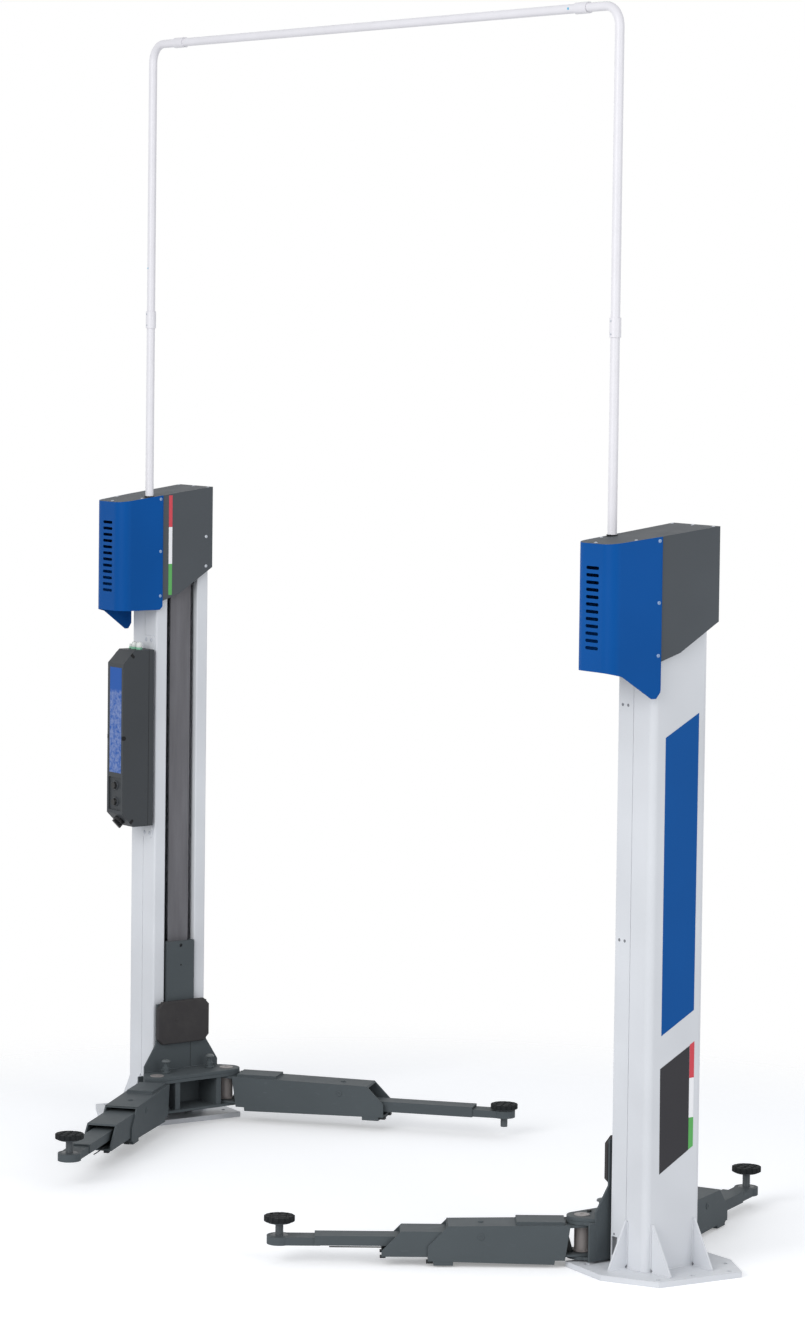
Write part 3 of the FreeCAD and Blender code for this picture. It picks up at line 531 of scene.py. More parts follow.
def screwProfile(top):
    # One flat-crested ridge for each pitch, then the dish that carries the pad
    s = screwShape
    low = top - s["length"]
    rows = [(0.001, low), (s["root"], low)]
    for z in np.arange(low + 0.001, top - s["pitch"], s["pitch"]):
        rows += [(s["root"], z), (s["crest"], z + 0.3 * s["pitch"]), (s["crest"], z + 0.5 * s["pitch"]),
                 (s["root"], z + 0.8 * s["pitch"])]
    return rows + [(s["crest"], top - 0.0002), (s["crest"] + 0.004, top), (s["dish"] - 0.001, top),
                   (s["dish"], top + 0.001), (s["dish"], top + 0.0042),
                   (s["dish"] - 0.0008, top + s["dishHeight"]), (0.001, top + s["dishHeight"])]


for (side, end), arm in arms.items():
    label = side + "_" + end
    tipTop = arm["tip"] + screwShape["tipHeight"]
    dishZ = tipTop + arm["dish"]
    pad = onArm(padSurface(dishZ + screwShape["dishHeight"], arm["pad"]), side, end)
    made = addPiece(label + "_pad_block", [pad], "mouldedRubber", label + "_screw_pad", angle=28.0)
    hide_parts(label + "_rubber_pad")
    stem = onArm(lathe(screwProfile(dishZ), (arm["pad"], 0, 0), turns=40), side, end)
    made = addPiece(label + "_pad_thread", [stem], "phosphatedSteel", label + "_screw_pad")
    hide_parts(label + "_pad_stem")
    collar = lathe(screwShape["collar"], (arm["pad"], 0, tipTop), turns=40, closed=True)
    if arm["dish"] > screwShape["collarRoom"]:
        addPiece(label + "_tip_collar", [onArm(collar, side, end)], "phosphatedSteel", label + "_inner_stage")
print("pads and stems")

# Arm fittings, on an arm that lies along +X from its pin. A pair of blocks is given by its x from
# the mouth, the y of its middle, half its width and its z.
fitting = {
    "discBack": 0.18,
    "discZ": 0.106,
    "disc": [(0.0115, 0.0), (0.0115, 0.0015), (0.0095, 0.0024), (0.006, 0.0024), (0.0055, 0.0012),
             (0.001, 0.0012)],
    "boltHead": [(0.0105, 0.0), (0.0105, 0.0012), (0.0075, 0.0034), (0.0055, 0.0045), (0.001, 0.0048)],
    "sideY": 0.065,
    "rootX": 0.075,
    "rootTopZ": 0.147,
    "topFall": 0.007,
    "stops": {"x": (-0.018, 0.006), "y": 0.045, "half": 0.011, "z": (0.011, 0.0205)},
    "feet": {"x": (-0.086, -0.019), "y": 0.051, "half": 0.0135, "z": (0.0062, 0.0225)},
    "middleStops": {"x": (-0.014, 0.006), "y": 0.04, "half": 0.01, "z": (0.027, 0.0345)},
    "teeth": 36,
    "toothTip": 0.0292,
    "toothRoot": 0.0272,
    "toothZ": (0.0472, 0.0552),
    "boreRadius": 0.0215,
    "sleeve": [(0.0265, 0.0472), (0.0265, 0.1362), (0.0215, 0.1362), (0.0215, 0.0472)],
    "rib": [(0.031, 0.0465), (0.031, 0.052), (0.046, 0.104), (0.064, 0.112), (0.064, 0.0465)],
    "ribY": 0.012,
    "weldStart": 0.062,
    "weldEnd": {"front": 0.225, "rear": 0.222},
    "weldY": 0.0525,
    "weldZ": (0.1455, 0.1445),
    "weldRadius": 0.0028,
    "rodRadius": 0.0022,
    "rodPlace": (-0.03, 0.0455),
    "rodStart": -0.02,
    "rodEnd": {"left": 0.12, "right": 0.178},
}


def toothedRing(z0, z1):
    # The outer radius changes between tip and root twice in every four points round the pin
    count = fitting["teeth"] * 4
    spin = circle(count)
    size = np.where(np.arange(count) % 4 < 2, fitting["toothTip"], fitting["toothRoot"])
    bore = np.full(count, fitting["boreRadius"])
    rings = [(size, z0), (size, z1), (bore, z1), (bore, z0)]
    points = np.concatenate([np.stack([r * np.cos(spin), r * np.sin(spin), np.full(count, z)], 1)
                             for r, z in rings])
    return points, ringFaces(len(rings), count, True)


def blockPair(shape, mouth):
    # Two blocks under an arm, one each side of its middle
    (x0, x1), (z0, z1) = shape["x"], shape["z"]
    return [cuboid((mouth + x0, s * shape["y"] - shape["half"], z0),
                   (mouth + x1, s * shape["y"] + shape["half"], z1)) for s in (-1, 1)]


for (side, end), arm in arms.items():
    label = side + "_" + end
    body = label + "_swing_arm"

    def addToArm(name, parts, look, onBody=body, bevelMm=0.0):
        addPiece(label + name, [onArm(p, side, end) for p in parts], look, onBody, bevelMm)

    # The arm's top falls evenly from its root to its mouth
    discX = arm["length"] - fitting["discBack"]
    slope = (discX - fitting["rootX"]) / (arm["length"] - fitting["rootX"])
    topZ = fitting["rootTopZ"] - fitting["topFall"] * slope
    discs = [lathe(fitting["disc"], (discX, s * fitting["sideY"], fitting["discZ"]), (0, s, 0))
             for s in (-1, 1)]
    addToArm("_arm_discs", discs + [lathe(fitting["boltHead"], (discX, 0, topZ))], "armEnamel")
    addToArm("_stop_blocks", blockPair(fitting["stops"], arm["length"]), "blackOxide", bevelMm=1.0)
    addToArm("_arm_feet", blockPair(fitting["feet"], arm["length"]), "armEnamel", bevelMm=1.0)
    sleeve = lathe(fitting["sleeve"], turns=48, closed=True)
    addToArm("_pin_sleeve", [toothedRing(*fitting["toothZ"]), sleeve], "platedPin")
    # Stop rib between the forks, in front of the pin. Its near-black colour is painted shade between the
    # forks.
    rib = prism([(x, -fitting["ribY"], z) for x, z in fitting["rib"]], (0, 2 * fitting["ribY"], 0))
    addToArm("_stop_rib", [rib], "blackOxide", bevelMm=1.0)
    # Weld round three sides of the plate on the arm's root
    near, far, y, gap = fitting["weldStart"], fitting["weldEnd"][end], fitting["weldY"], 0.0005
    runs = [((near, -y), (far, -y)), ((near, y), (far, y)), ((far + gap, gap - y), (far + gap, y - gap))]
    startZ, endZ = fitting["weldZ"]
    beads = [weldBead((*a, startZ), (*b, endZ), fitting["weldRadius"]) for a, b in runs]
    addToArm("_doubler_weld", beads, "armEnamel")
    if end == "front":
        ends = (arm["mouth"] + fitting["rodStart"], arm["mouth"] + fitting["rodEnd"][side])
        rod = sweep([(x, *fitting["rodPlace"]) for x in ends], fitting["rodRadius"])
        addToArm("_draw_rod", [rod], "blackOxide", label + "_inner_stage")
        addToArm("_middle_stops", blockPair(fitting["middleStops"], arm["mouth"]), "blackOxide",
                 label + "_middle_stage", 0.8)
print("arm fittings")

# Lock knobs: shafts with a cross lever, and caps. Heights count from the seat and from the cap.
knob = {
    "x": 1.348,
    "y": 0.104,
    "seatZ": 0.171,
    "capZ": 0.214,
    "shaft": [(0.0139, -0.01), (0.0139, 0.0), (0.017, 0.0005), (0.017, 0.006), (0.0135, 0.008),
              (0.0135, 0.022), (0.009, 0.025), (0.009, 0.043)],
    "leverHalf": (0.006, 0.02),
    "leverZ": (0.012, 0.018),
    "cap": [(0.009, -0.001), (0.0165, 0.001), (0.0175, 0.005), (0.0145, 0.009), (0.008, 0.0115),
            (0.001, 0.012)],
}

# Plate welded on the upper lugs, with the pin heads and bolts that show in it
topPlate = {
    "lowZ": 0.1578,
    "highZ": 0.171,
    "lugRadius": 0.0535,
    "lugTurn": 0.55,
    "innerX": 1.2665,
    "backPlace": (1.3955, -0.171),
    "head": [(0.0275, -0.001), (0.0275, 0.001), (0.026, 0.0022), (0.008, 0.0022), (0.0065, 0.0008),
             (0.001, 0.0008)],
    "bolt": [(0.0085, -0.0005), (0.0085, 0.006), (0.007, 0.0072), (0.001, 0.0074)],
    "boltPlace": (1.300, 0.118),
}

# The apron above the yoke: its seam, and its small hole as a patch of painted shade; marks on the door pad,
# wings and weld runs
apron = {
    "seam": {"x": 1.396, "y": (0.0422, 0.0438), "z": (0.1725, 0.2775)},
    "hole": {"x": 1.404, "y": (-0.003, 0.003), "z": (0.583, 0.589)},
    "mark": [(0.006, 0.0), (0.006, 0.0006), (0.004, 0.0011), (0.001, 0.0011)],
    "markX": 1.378,
    "markPlaces": ((-0.039, 0.376), (-0.031, 0.372), (0.028, 0.363)),
    "wing": {"x": (1.3962, 1.4038), "y": 0.18575, "half": 0.01575, "z": (0.027, 0.1585)},
    "ribX": (1.274, 1.394),
    "ribY": (0.085, 0.110),
    "ribZ": (0.038, 0.1455),
    "ribBead": 0.0026,
    "footX": 1.3955,
    "footY": (0.168, 0.01),
    "footZ": 0.1725,
}


def lugOutline(z):
    # Round lugs at both ends, a straight edge towards the other post
    r, y0 = topPlate["lugRadius"], lift["pivotY"]
    spin = np.linspace(math.pi, 1.5 * math.pi + topPlate["lugTurn"], 22)
    front = [(lift["pivotX"] + r * math.cos(t), -y0 + r * math.sin(t)) for t in spin]
    half = [(topPlate["innerX"], -y0)] + front[1:] + [topPlate["backPlace"]]
    return [(x, y, z) for x, y in half] + [(x, -y, z) for x, y in reversed(half)]


def slimBox(shape, proud=0.0003):
    # A thin dark patch on a face that looks towards the other post: a dark seam line, and painted shade in a
    # hole
    (y0, y1), (z0, z1) = shape["y"], shape["z"]
    return cuboid((shape["x"] - proud, y0, z0), (shape["x"] + 0.0005, y1, z1))


for side in sides:
    body = side + "_lift_carriage"

    def addToCarriage(name, parts, look, bevelMm=0.0):
        return addPiece(side + name, [onSide(p, side) for p in parts], look, body, bevelMm)

    shafts, caps = [], []
    for s in (-1, 1):
        x, y, z = knob["x"], s * knob["y"], knob["seatZ"]
        (halfX, halfY), (z0, z1) = knob["leverHalf"], knob["leverZ"]
        shafts.append(lathe(knob["shaft"], (x, y, z)))
        shafts.append(cuboid((x - halfX, y - halfY, z + z0), (x + halfX, y + halfY, z + z1)))
        caps.append(lathe(knob["cap"], (x, y, knob["capZ"])))
    made = addToCarriage("_lock_shafts", shafts, "armEnamel", 0.6)
    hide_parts(side + "_arm_locks")
    addToCarriage("_lock_caps", caps, "knobLacquer")
    addToCarriage("_apron_seam", [slimBox(apron["seam"]), slimBox(apron["hole"])], "darkSeamsAndPaintedShade")
    addToCarriage("_pad_marks", [lathe(apron["mark"], (apron["markX"], y, z), (-1, 0, 0), 20)
                                 for y, z in apron["markPlaces"]], "dustyRubber")
    beads = []
    for s in (-1, 1):
        for y in apron["ribY"]:
            for z in apron["ribZ"]:
                start, stop = [(x, s * y, z) for x in apron["ribX"]]
                beads.append(weldBead(start, stop, apron["ribBead"]))
        start, stop = [(apron["footX"], s * y, apron["footZ"]) for y in apron["footY"]]
        beads.append(weldBead(start, stop))
    addToCarriage("_yoke_welds", beads, "armEnamel")
    top = topPlate["highZ"]
    plate = prism(lugOutline(topPlate["lowZ"]), (0, 0, top - topPlate["lowZ"]))
    addToCarriage("_top_plate", [plate], "armEnamel", 1.6)
    addToCarriage("_pin_heads", [lathe(topPlate["head"], (lift["pivotX"], s * lift["pivotY"], top), turns=48)
                                 for s in (-1, 1)], "platedHead")
    if side == "right":
        x, y = topPlate["boltPlace"]
        addToCarriage("_plate_bolts", [lathe(topPlate["bolt"], (x, -s * y, top), turns=6) for s in (-1, 1)],
                      "blackOxide")
    addToCarriage("_apron_wings", blockPair(apron["wing"], 0.0), "armEnamel", 1.0)
print("carriage fittings")

# Printed panels and stripes on the posts and housings, without any lettering. Outlines are (y, z).
prints = {
    "proud": 0.0004,
    "bluePanel": [(-0.066, 1.822), (0.080, 1.899), (0.078, 0.892), (-0.065, 0.817)],
    "darkPanel": [(-0.068, 0.706), (0.061, 0.772), (0.062, 0.417), (-0.065, 0.348)],
    "postStripe": {"y": (0.062, 0.0825), "z": (0.775, 0.662, 0.527, 0.418), "slant": 0.5},
    "houseStripe": {"y": (-0.081, -0.0645), "z": (2.497, 2.372, 2.226, 2.103), "slant": 0.0},
    "houseX": 1.397,
}


def printed(outline, x, out):
    # A thin film on the face at x. Out is +1 when the face looks away from the other post.
    flat = [(x - 0.0002 * out, y, z) for y, z in outline]
    return prism(flat, (out * (prints["proud"] + 0.0002), 0, 0))


def stripe(shape, x, out):
    # One film for each pair of neighbouring heights. Only the two far ends are cut on a slant.
    y0, y1 = shape["y"]
    rise = shape["slant"] * (y1 - y0)
    films = []
    last = len(shape["z"]) - 2
    for i, (top, low) in enumerate(zip(shape["z"], shape["z"][1:])):
        up, down = rise if i == 0 else 0.0, rise if i == last else 0.0
        films.append(printed([(y0, low), (y1, low + down), (y1, top + up), (y0, top)], x, out))
    return films


def addToFrame(name, parts, look, side, bevelMm=0.0):
    # What is fixed to the frame doesn't rise with the left carriage
    addPiece(name, [onSide(p, side, False) for p in parts], look, "frame", bevelMm)


for side in sides:
    outer = lift["postOuterX"]
    addToFrame(side + "_blue_panel", [printed(prints["bluePanel"], outer, 1)], "blueVinyl", side)
    addToFrame(side + "_dark_panel", [printed(prints["darkPanel"], outer, 1)], "darkVinyl", side)
    onPost = stripe(prints["postStripe"], outer + 0.0001, 1)
    onHouse = stripe(prints["houseStripe"], prints["houseX"], -1)
    for film, other, shade in zip(onPost, onHouse, ("red", "white", "green")):
        addToFrame(side + "_stripe_" + shade, [film, other], shade + "Vinyl", side)
print("printed panels")

# Screws of covers, housings, roofs and risers, and the holes in the posts, drawn as discs of painted shade
screws = {
    "radius": 0.0048,
    "head": 0.0022,
    "coverX": 1.395,
    "coverY": -0.12,
    "coverZ": (2.483, 2.277, 2.101),
    "coverAxis": (0.984, -0.177, 0),
    "houseX": 1.397,
    "houseY": 0.097,
    "houseZ": (2.33, 2.213),
    "roofPlaces": ((1.487, -0.288), (1.41, -0.2), (1.59, -0.2), (1.41, 0.112), (1.62, 0.112), (1.515, 0.112)),
    "roofAxis": (0, -0.1257, 0.992),
    "backPlaces": [(x, 0.127, z) for x in (1.45, 1.585) for z in (2.26, 2.44)],
    "riserPlaces": [(1.418, -0.18, 3.188 + rise) for rise in (-0.022, 0.022)],
    "riserRadius": 0.003,
    "bracketX": (1.446, 1.483),
    "bracketZ": (1.923, 1.155),
    "bracketRadius": 0.0065,
    "bracketProud": 0.005,
}

holeShape = {
    "radius": 0.0055,
    "footRadius": 0.0042,
    "x": (1.442, 1.47),
    "z": (1.923, 1.126),
    "footPlace": (1.438, 0.122),
    "half": 0.0003,
}

# Folded lip where the cover laps the housing
lipShape = {
    "innerX": 1.3946,
    "y": -0.1105,
    "innerLowZ": 2.06,
    "outerLowZ": 1.985,
    "radius": 0.0012,
}

# Weld runs round the foot of a post, and painted shade in the open corner of each gusset
foot = {
    "sideX": 1.504,
    "backY": 0.092,
    "beadOff": 0.005,
    "plateZ": 0.0212,
    "sideY": 0.1232,
    "backX": 1.6012,
    "riseZ": (0.034, 0.178),
    "sideRun": (0.132, 0.198),
    "backRun": (1.61, 1.695),
    "sideRuns": ((1.425, 1.498), (1.51, 1.573)),
    "backHalf": 0.084,
    "cornerRadius": 0.011,
    "cornerHalf": 0.0043,
    "floorZ": 0.02,
    "postY": 0.122,
}

motor = {
    "place": (1.5, -0.205, 0),
    "cowl": [(0.03, 2.148), (0.052, 2.15), (0.059, 2.156), (0.059, 2.19), (0.0565, 2.19)],
    "terminalBox": ((1.535, -0.24, 2.25), (1.572, -0.17, 2.33)),
    "bolt": [(0.006, 2.395), (0.006, 2.415), (0.001, 2.416)],
    "boltCircle": 0.064,
}


def panHead(place, axis, radius=None):
    # A pan-head screw on its washer, its height in proportion to its radius
    r = radius or screws["radius"]
    h = screws["head"] * r / screws["radius"]
    rows = [(r * 1.3, -0.0003), (r * 1.3, 0.0004), (r, 0.0006), (r * 0.96, h * 0.6), (r * 0.75, h),
            (r * 0.4, h), (r * 0.36, h * 0.35), (0.0003, h * 0.35)]
    return lathe(rows, place, axis, 20)


def roofZ(y):
    # The roof rises 55 mm over 434 mm, from its front edge back
    return 2.473 + 0.055 * (y + 0.305) / 0.434


def outerX(y):
    # Outer side of the cover and, behind the split, of the grey housing: both widen backwards
    if y < -0.11:
        return 1.585 + 0.035 * (y + 0.305) / 0.195
    return 1.618 + 0.021 * (y + 0.11) / 0.239


def holeShadeDisc(x, z, radius):
    # A flat disc of painted shade on the post's front face, where a hole is
    h = holeShape["half"]
    return lathe([(radius, -h), (radius, h)], (x, lift["postFaceY"], z), (0, -1, 0), 20)


for side in sides:
    blue = []
    for z in screws["coverZ"]:
        blue.append(panHead((screws["coverX"], screws["coverY"], z), (-1, 0, 0)))
        blue.append(panHead((outerX(screws["coverY"]), screws["coverY"], z), screws["coverAxis"]))
    grey = [panHead((screws["houseX"], screws["houseY"], z), (-1, 0, 0)) for z in screws["houseZ"]]
    grey += [panHead((x, y, roofZ(y)), screws["roofAxis"]) for x, y in screws["roofPlaces"]]
    grey += [panHead(place, (0, 1, 0)) for place in screws["backPlaces"]]
    grey += [panHead(place, (0, -1, 0), screws["riserRadius"]) for place in screws["riserPlaces"]]
    addToFrame(side + "_cover_screws", blue, "blueZinc", side)
    addToFrame(side + "_housing_screws", grey, "clearZinc", side)
    y, innerX, splitX = lipShape["y"], lipShape["innerX"], outerX(-0.1101)
    lip = [sweep([(innerX, y, lipShape["innerLowZ"]), (innerX, y, roofZ(y))], lipShape["radius"], 8),
           sweep([(splitX, y, lipShape["outerLowZ"]), (splitX, y, roofZ(y))], lipShape["radius"], 8)]
    addToFrame(side + "_cover_lip", lip, "bluePowderCoat", side)

    holes = [holeShadeDisc(x, z, holeShape["radius"]) for x in holeShape["x"] for z in holeShape["z"]]
    footHole = holeShadeDisc(*holeShape["footPlace"], holeShape["footRadius"])
    if side == "right":
        addToFrame("right_post_holes", holes + [footHole], "greyPaintedShade", side)
    else:
        addToFrame("left_post_holes", [footHole], "darkSeamsAndPaintedShade", side)
        y = lift["postFaceY"] - screws["bracketProud"]
        tabs = [panHead((-x, y, z), (0, -1, 0), screws["bracketRadius"])
                for x in screws["bracketX"] for z in screws["bracketZ"]]
        addPiece("bracket_screws", tabs, "clearZinc", "frame")

    beads, corners = [], []
    f, z = foot, foot["plateZ"]
    (low, high), (near, far), (backNear, backFar) = f["riseZ"], f["sideRun"], f["backRun"]
    quarter = [(math.cos(t) * f["cornerRadius"], math.sin(t) * f["cornerRadius"])
               for t in np.linspace(0, math.pi / 2, 7)] + [(0, 0)]
    for s in (-1, 1):
        for d in (-f["beadOff"], f["beadOff"]):
            x, y = f["sideX"] + d, s * f["backY"] + d
            beads.append(weldBead((x, s * near, z), (x, s * far, z)))
            beads.append(weldBead((x, s * f["sideY"], low), (x, s * f["sideY"], high)))
            beads.append(weldBead((backNear, y, z), (backFar, y, z)))
            beads.append(weldBead((f["backX"], y, low), (f["backX"], y, high)))
        for x0, x1 in f["sideRuns"]:
            beads.append(weldBead((x0, s * f["sideY"], z), (x1, s * f["sideY"], z)))
        # Quarter discs of painted shade fill each gusset's open corner
        h, x, y = f["cornerHalf"], lift["postOuterX"], s * f["backY"]
        corners.append(prism([(f["sideX"] - h, s * (f["postY"] + a), f["floorZ"] + b) for a, b in quarter],
                             (2 * h, 0, 0)))
        corners.append(prism([(x + a, y - h, f["floorZ"] + b) for a, b in quarter], (0, 2 * h, 0)))
    beads.append(weldBead((f["backX"], -f["backHalf"], z), (f["backX"], f["backHalf"], z)))
    addToFrame(side + "_frame_welds", beads, "floorPowderCoat", side)
    addToFrame(side + "_gusset_corner_shade", corners, "greyPaintedShade", side)

    # Fan cowl, terminal box and bolts of the motor under the cover
    cowl = [lathe(motor["cowl"], motor["place"], turns=48), cuboid(*motor["terminalBox"])]
    for k in range(4):
        t = math.pi / 4 + k * math.pi / 2
        offset = np.array((math.cos(t), math.sin(t), 0)) * motor["boltCircle"]
        cowl.append(lathe(motor["bolt"], motor["place"] + offset, turns=6))
    addToFrame(side + "_motor_cowl", cowl, "castMotor", side, 1.5)
print("frame fittings")

# Small dots on the conduit beside the joints
dotShape = {
    "cross": [(0.0045, 0.0), (0.0045, 0.0006), (0.001, 0.0009)],
    "crossPlaces": ((1.164, -0.176, 4.262), (1.222, -0.176, 4.262)),
    "riser": [(0.0028, 0.0), (0.0028, 0.0006), (0.001, 0.0009)],
    "riserPlace": (-1.418, -0.176, 3.39),
}
dots = [lathe(dotShape["cross"], place, (0, -1, 0), 14) for place in dotShape["crossPlaces"]]
dots.append(lathe(dotShape["riser"], dotShape["riserPlace"], (0, -1, 0), 14))
addPiece("conduit_dots", dots, "cyanNylon", "frame")

# Control box: label, screw wells and lid latch recesses as patches of painted shade, button rings and caps,
# gland bases and nuts
box = {
    "innerX": 1.410,
    "outerX": 1.522,
    "frontY": -0.28,
    "topZ": 1.888,
    "lowZ": 1.190,
    "labelX": (1.422, 1.505),
    "labelZ": (1.404, 1.820),
    "wellY": -0.243,
    "wellIn": 0.015,
    "wellLength": 0.018,
    "wellHalf": 0.0062,
    "latchZ": 1.543,
    "latchSide": ((-0.0003, -0.0085), (0.011, -0.008), (0.0155, 0), (0.011, 0.008), (-0.0003, 0.0085)),
    "latchFront": ((-0.0004, -0.0085), (0.007, -0.0078), (0.0095, 0), (0.007, 0.0078), (-0.0004, 0.0085)),
    "seamY": (-0.1605, -0.159),
    "seamZ": (1.1905, 1.8875),
    "buttonY": -0.274,
    "buttonZ": (1.353, 1.288),
    "ring": [(0.015, 0.0), (0.0185, 0.0), (0.0185, 0.004), (0.0178, 0.0055), (0.0158, 0.0058),
             (0.015, 0.005)],
    "cap": [(0.0145, 0.0), (0.0145, 0.0085), (0.0135, 0.0098), (0.008, 0.0104), (0.001, 0.0105)],
    "glandY": -0.182,
    "glandX": (1.449, 1.483),
    "baseRadius": 0.0125,
    "plugX": 1.5102,
    "plugRadius": 0.0062,
    "nut": [(0.0112, 1.896), (0.0122, 1.8975), (0.0122, 1.905), (0.0112, 1.9065), (0.0105, 1.912),
            (0.0085, 1.9155), (0.006, 1.917), (0.001, 1.917)],
}


def wellOutline(x, zEdge, s):
    # A slot that starts near a chamfered corner and runs in at 45 degrees, with a pointed end
    middle = np.array((x, box["wellY"], zEdge - s * box["wellIn"]))
    inward = np.array((0, 0.7071, -s * 0.7071)) * box["wellLength"]
    half = np.array((0, 0.7071, s * 0.7071)) * box["wellHalf"]
    start = middle - inward * 0.02
    return [start + half, start + inward + half * 0.9, start + inward * 1.12, start + inward - half * 0.9,
            start - half]


front = box["frontY"]
(x0, x1), (z0, z1) = box["labelX"], box["labelZ"]
addToFrame("box_label", [cuboid((x0, front - 0.0005, z0), (x1, front + 0.0002, z1))], "printedVinyl", "left")
# The screw wells and the latch recesses are flat patches of painted shade
wells, latchZ = [], box["latchZ"]
for x, s in ((box["innerX"], 1), (box["outerX"], -1)):
    for zEdge, up in ((box["topZ"], 1), (box["lowZ"], -1)):
        wells.append(prism([p - (0.0004, 0, 0) for p in wellOutline(x, zEdge, up)], (0.0008, 0, 0)))
    wells.append(prism([(x - 0.0004, front + a, latchZ + b) for a, b in box["latchSide"]], (0.0008, 0, 0)))
    wells.append(prism([(x + s * a, front - 0.0003, latchZ + b) for a, b in box["latchFront"]],
                       (0, 0.0006, 0)))
addToFrame("box_recess_shade", wells, "darkSeamsAndPaintedShade", "left")
(y0, y1), (z0, z1) = box["seamY"], box["seamZ"]
seam = cuboid((box["innerX"] - 0.0003, y0, z0), (box["outerX"] + 0.0003, y1, z1))
addToFrame("box_lid_seam", [seam], "darkSeamsAndPaintedShade", "left")
middleX = (box["innerX"] + box["outerX"]) / 2
places = [(middleX, box["buttonY"], z) for z in box["buttonZ"]]
addToFrame("button_rings", [lathe(box["ring"], p, (0, -1, 0), 40, True) for p in places], "greyNylonAndHighlight", "left")
addToFrame("button_caps", [lathe(box["cap"], p, (0, -1, 0), 36) for p in places], "blackNylon", "left")
bases = [lathe([(r, 1.888), (r, 1.895), (r * 0.9, 1.8962)], (x, box["glandY"], 0), turns=28)
         for x, r in ((box["glandX"][0], box["baseRadius"]), (box["glandX"][1], box["baseRadius"]),
                      (box["plugX"], box["plugRadius"]))]
addToFrame("gland_bases", bases, "greenNylon", "left")
addToFrame("gland_nuts", [lathe(box["nut"], (x, box["glandY"], 0), turns=12) for x in box["glandX"]],
           "whiteNylon", "left")
print("control box fittings")

# Floor, light and background
studio = {
    "floorColour": "#F4F4F5",
    "floorRadius": 9.0,
    "floorClear": 3.4,
    "floorGlow": 0.27,
    "key": {"place": (2.5, -8.5, 5.0), "aim": (0, 0, 1.0), "size": 6.0, "power": 470.0},
    "fill": {"place": (9.0, 1.5, 4.0), "aim": (0, 0, 1.5), "size": 5.0, "power": 195.0},
    "skyColour": (0.93, 0.96, 1.0, 1.0),
    "skyLevel": 0.6,
}


def flatFloor():
    # A round sheet that fades into the white background away from the object
    reach, around = studio["floorRadius"], 96
    turns = circle(around)
    ring = np.stack([np.cos(turns) * reach, np.sin(turns) * reach, np.zeros(around)], 1)
    mesh = bpy.data.meshes.new("floor")
    mesh.from_pydata(ring.tolist(), [], [list(range(around))])
    made = bpy.data.objects.new("floor", mesh)
    bpy.context.scene.collection.objects.link(made)
    # Matt paper, with a glow that only the camera sees
    paper, tree, place = newMaterial("floorPaper")
    away = put(tree, "VectorMath", {0: place}, operation="LENGTH").outputs["Value"]
    clearAt = studio["floorClear"]
    fade = put(tree, "MapRange", {"Value": away, "From Min": clearAt * 0.55, "From Max": clearAt},
               interpolation_type="SMOOTHSTEP")
    cameraRay = put(tree, "LightPath").outputs["Is Camera Ray"]
    glow = maths(tree, "MULTIPLY", cameraRay, studio["floorGlow"])
    sockets = {"Base Color": tint(studio["floorColour"]), "Roughness": 0.9, "Specular IOR Level": 0.1,
               "Emission Color": (1, 1, 1, 1), "Emission Strength": glow}
    shader = put(tree, "BsdfPrincipled", sockets)
    clear = put(tree, "BsdfTransparent")
    mix = put(tree, "MixShader", {0: fade.outputs[0], 1: shader.outputs[0], 2: clear.outputs[0]})
    put(tree, "OutputMaterial", {"Surface": mix.outputs[0]})
    mesh.materials.append(paper)
    return made


def areaLight(name):
    # A square lamp whose -Z looks from its place to its aim
    lamp = studio[name]
    data = bpy.data.lights.new(name, "AREA")
    data.shape = "RECTANGLE"
    data.size = data.size_y = lamp["size"]
    data.energy = lamp["power"]
    made = bpy.data.objects.new(name, data)
    bpy.context.scene.collection.objects.link(made)
    made.location = lamp["place"]
    made.rotation_euler = (Vector(lamp["aim"]) - Vector(lamp["place"])).to_track_quat("-Z", "Y").to_euler()
    return made


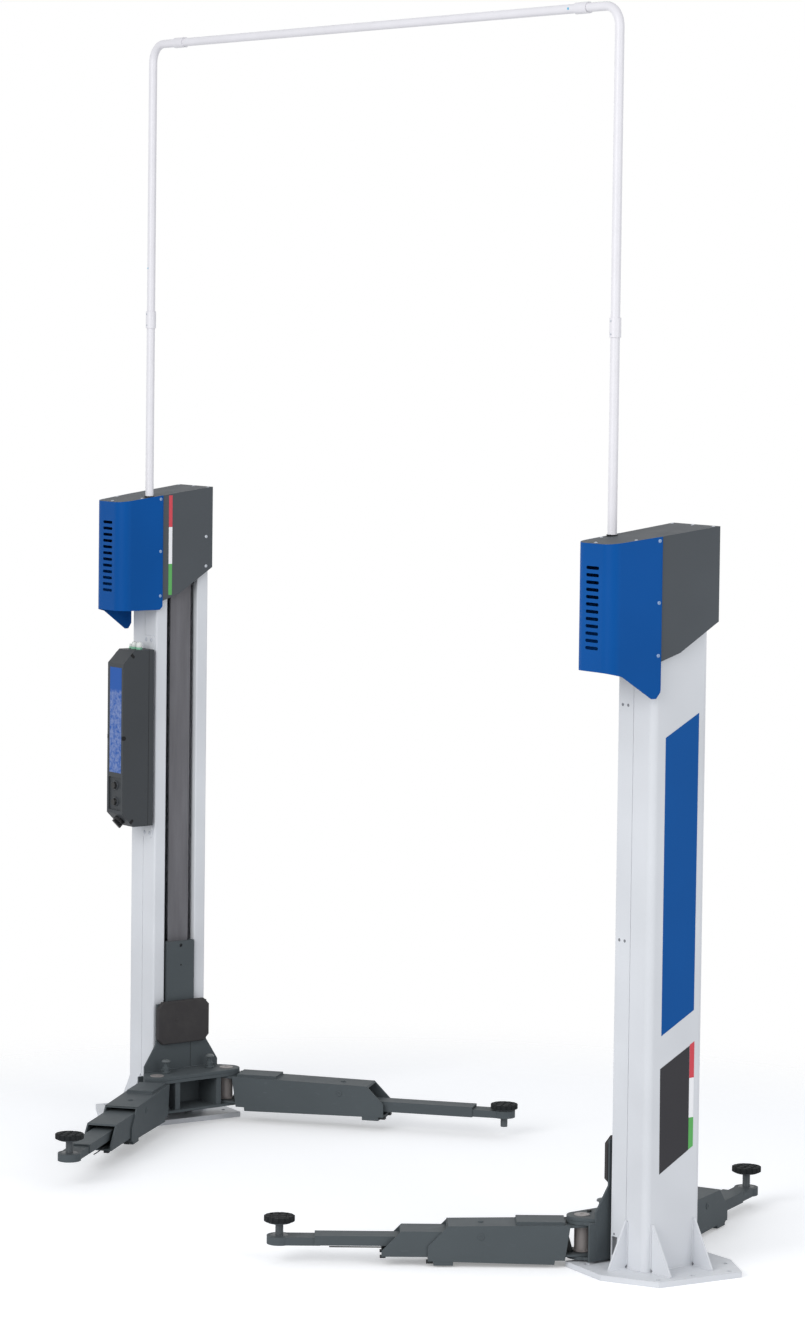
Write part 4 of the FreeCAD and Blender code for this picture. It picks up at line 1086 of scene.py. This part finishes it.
def whiteWorld():
    # White where the camera or a reflection looks, a pale sky where light falls on the object
    world = bpy.data.worlds.new("studio")
    bpy.context.scene.world = world
    world.use_nodes = True
    tree = world.node_tree
    tree.nodes.clear()
    path = put(tree, "LightPath")
    seen = maths(tree, "MAXIMUM", path.outputs["Is Camera Ray"], path.outputs["Is Transmission Ray"])
    seen = maths(tree, "MAXIMUM", seen, path.outputs["Is Glossy Ray"])
    sky = put(tree, "Background", {"Color": studio["skyColour"], "Strength": studio["skyLevel"]})
    paper = put(tree, "Background", {"Color": (1.0, 1.0, 1.0, 1.0), "Strength": 1.0})
    mix = put(tree, "MixShader", {0: seen, 1: sky.outputs[0], 2: paper.outputs[0]})
    put(tree, "OutputWorld", {"Surface": mix.outputs[0]})


camera = {
    "place": (11.3967, -8.5193, 3.2374),
    "yaw": 53.1457,
    "pitch": -3.0376,
    "roll": 0.6972,
    "lensMm": 105.334,
    "shiftY": -0.1109,
}


def aimCamera():
    # Yaw turns about Z from +Y, pitch lifts the view, roll turns the frame about it
    yaw, pitch, roll = (math.radians(camera[key]) for key in ("yaw", "pitch", "roll"))
    ahead = Vector((-math.sin(yaw) * math.cos(pitch), math.cos(yaw) * math.cos(pitch), math.sin(pitch)))
    across = Vector((math.cos(yaw), math.sin(yaw), 0))
    above = across.cross(ahead)
    right = across * math.cos(roll) + above * math.sin(roll)
    top = above * math.cos(roll) - across * math.sin(roll)
    turn = Matrix((right, top, -ahead)).transposed().to_4x4()
    data = bpy.data.cameras.new("photoCamera")
    data.sensor_fit = "AUTO"
    data.sensor_width = 36.0
    data.lens = camera["lensMm"]
    data.shift_y = camera["shiftY"]
    data.clip_end = 200.0
    made = bpy.data.objects.new("photoCamera", data)
    bpy.context.scene.collection.objects.link(made)
    made.matrix_world = Matrix.Translation(camera["place"]) @ turn
    bpy.context.scene.camera = made


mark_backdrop(flatFloor(), areaLight("key"), areaLight("fill"))
whiteWorld()
aimCamera()
bpy.context.scene.view_settings.view_transform = "Standard"
print("stage set")

saveBounds("finished")
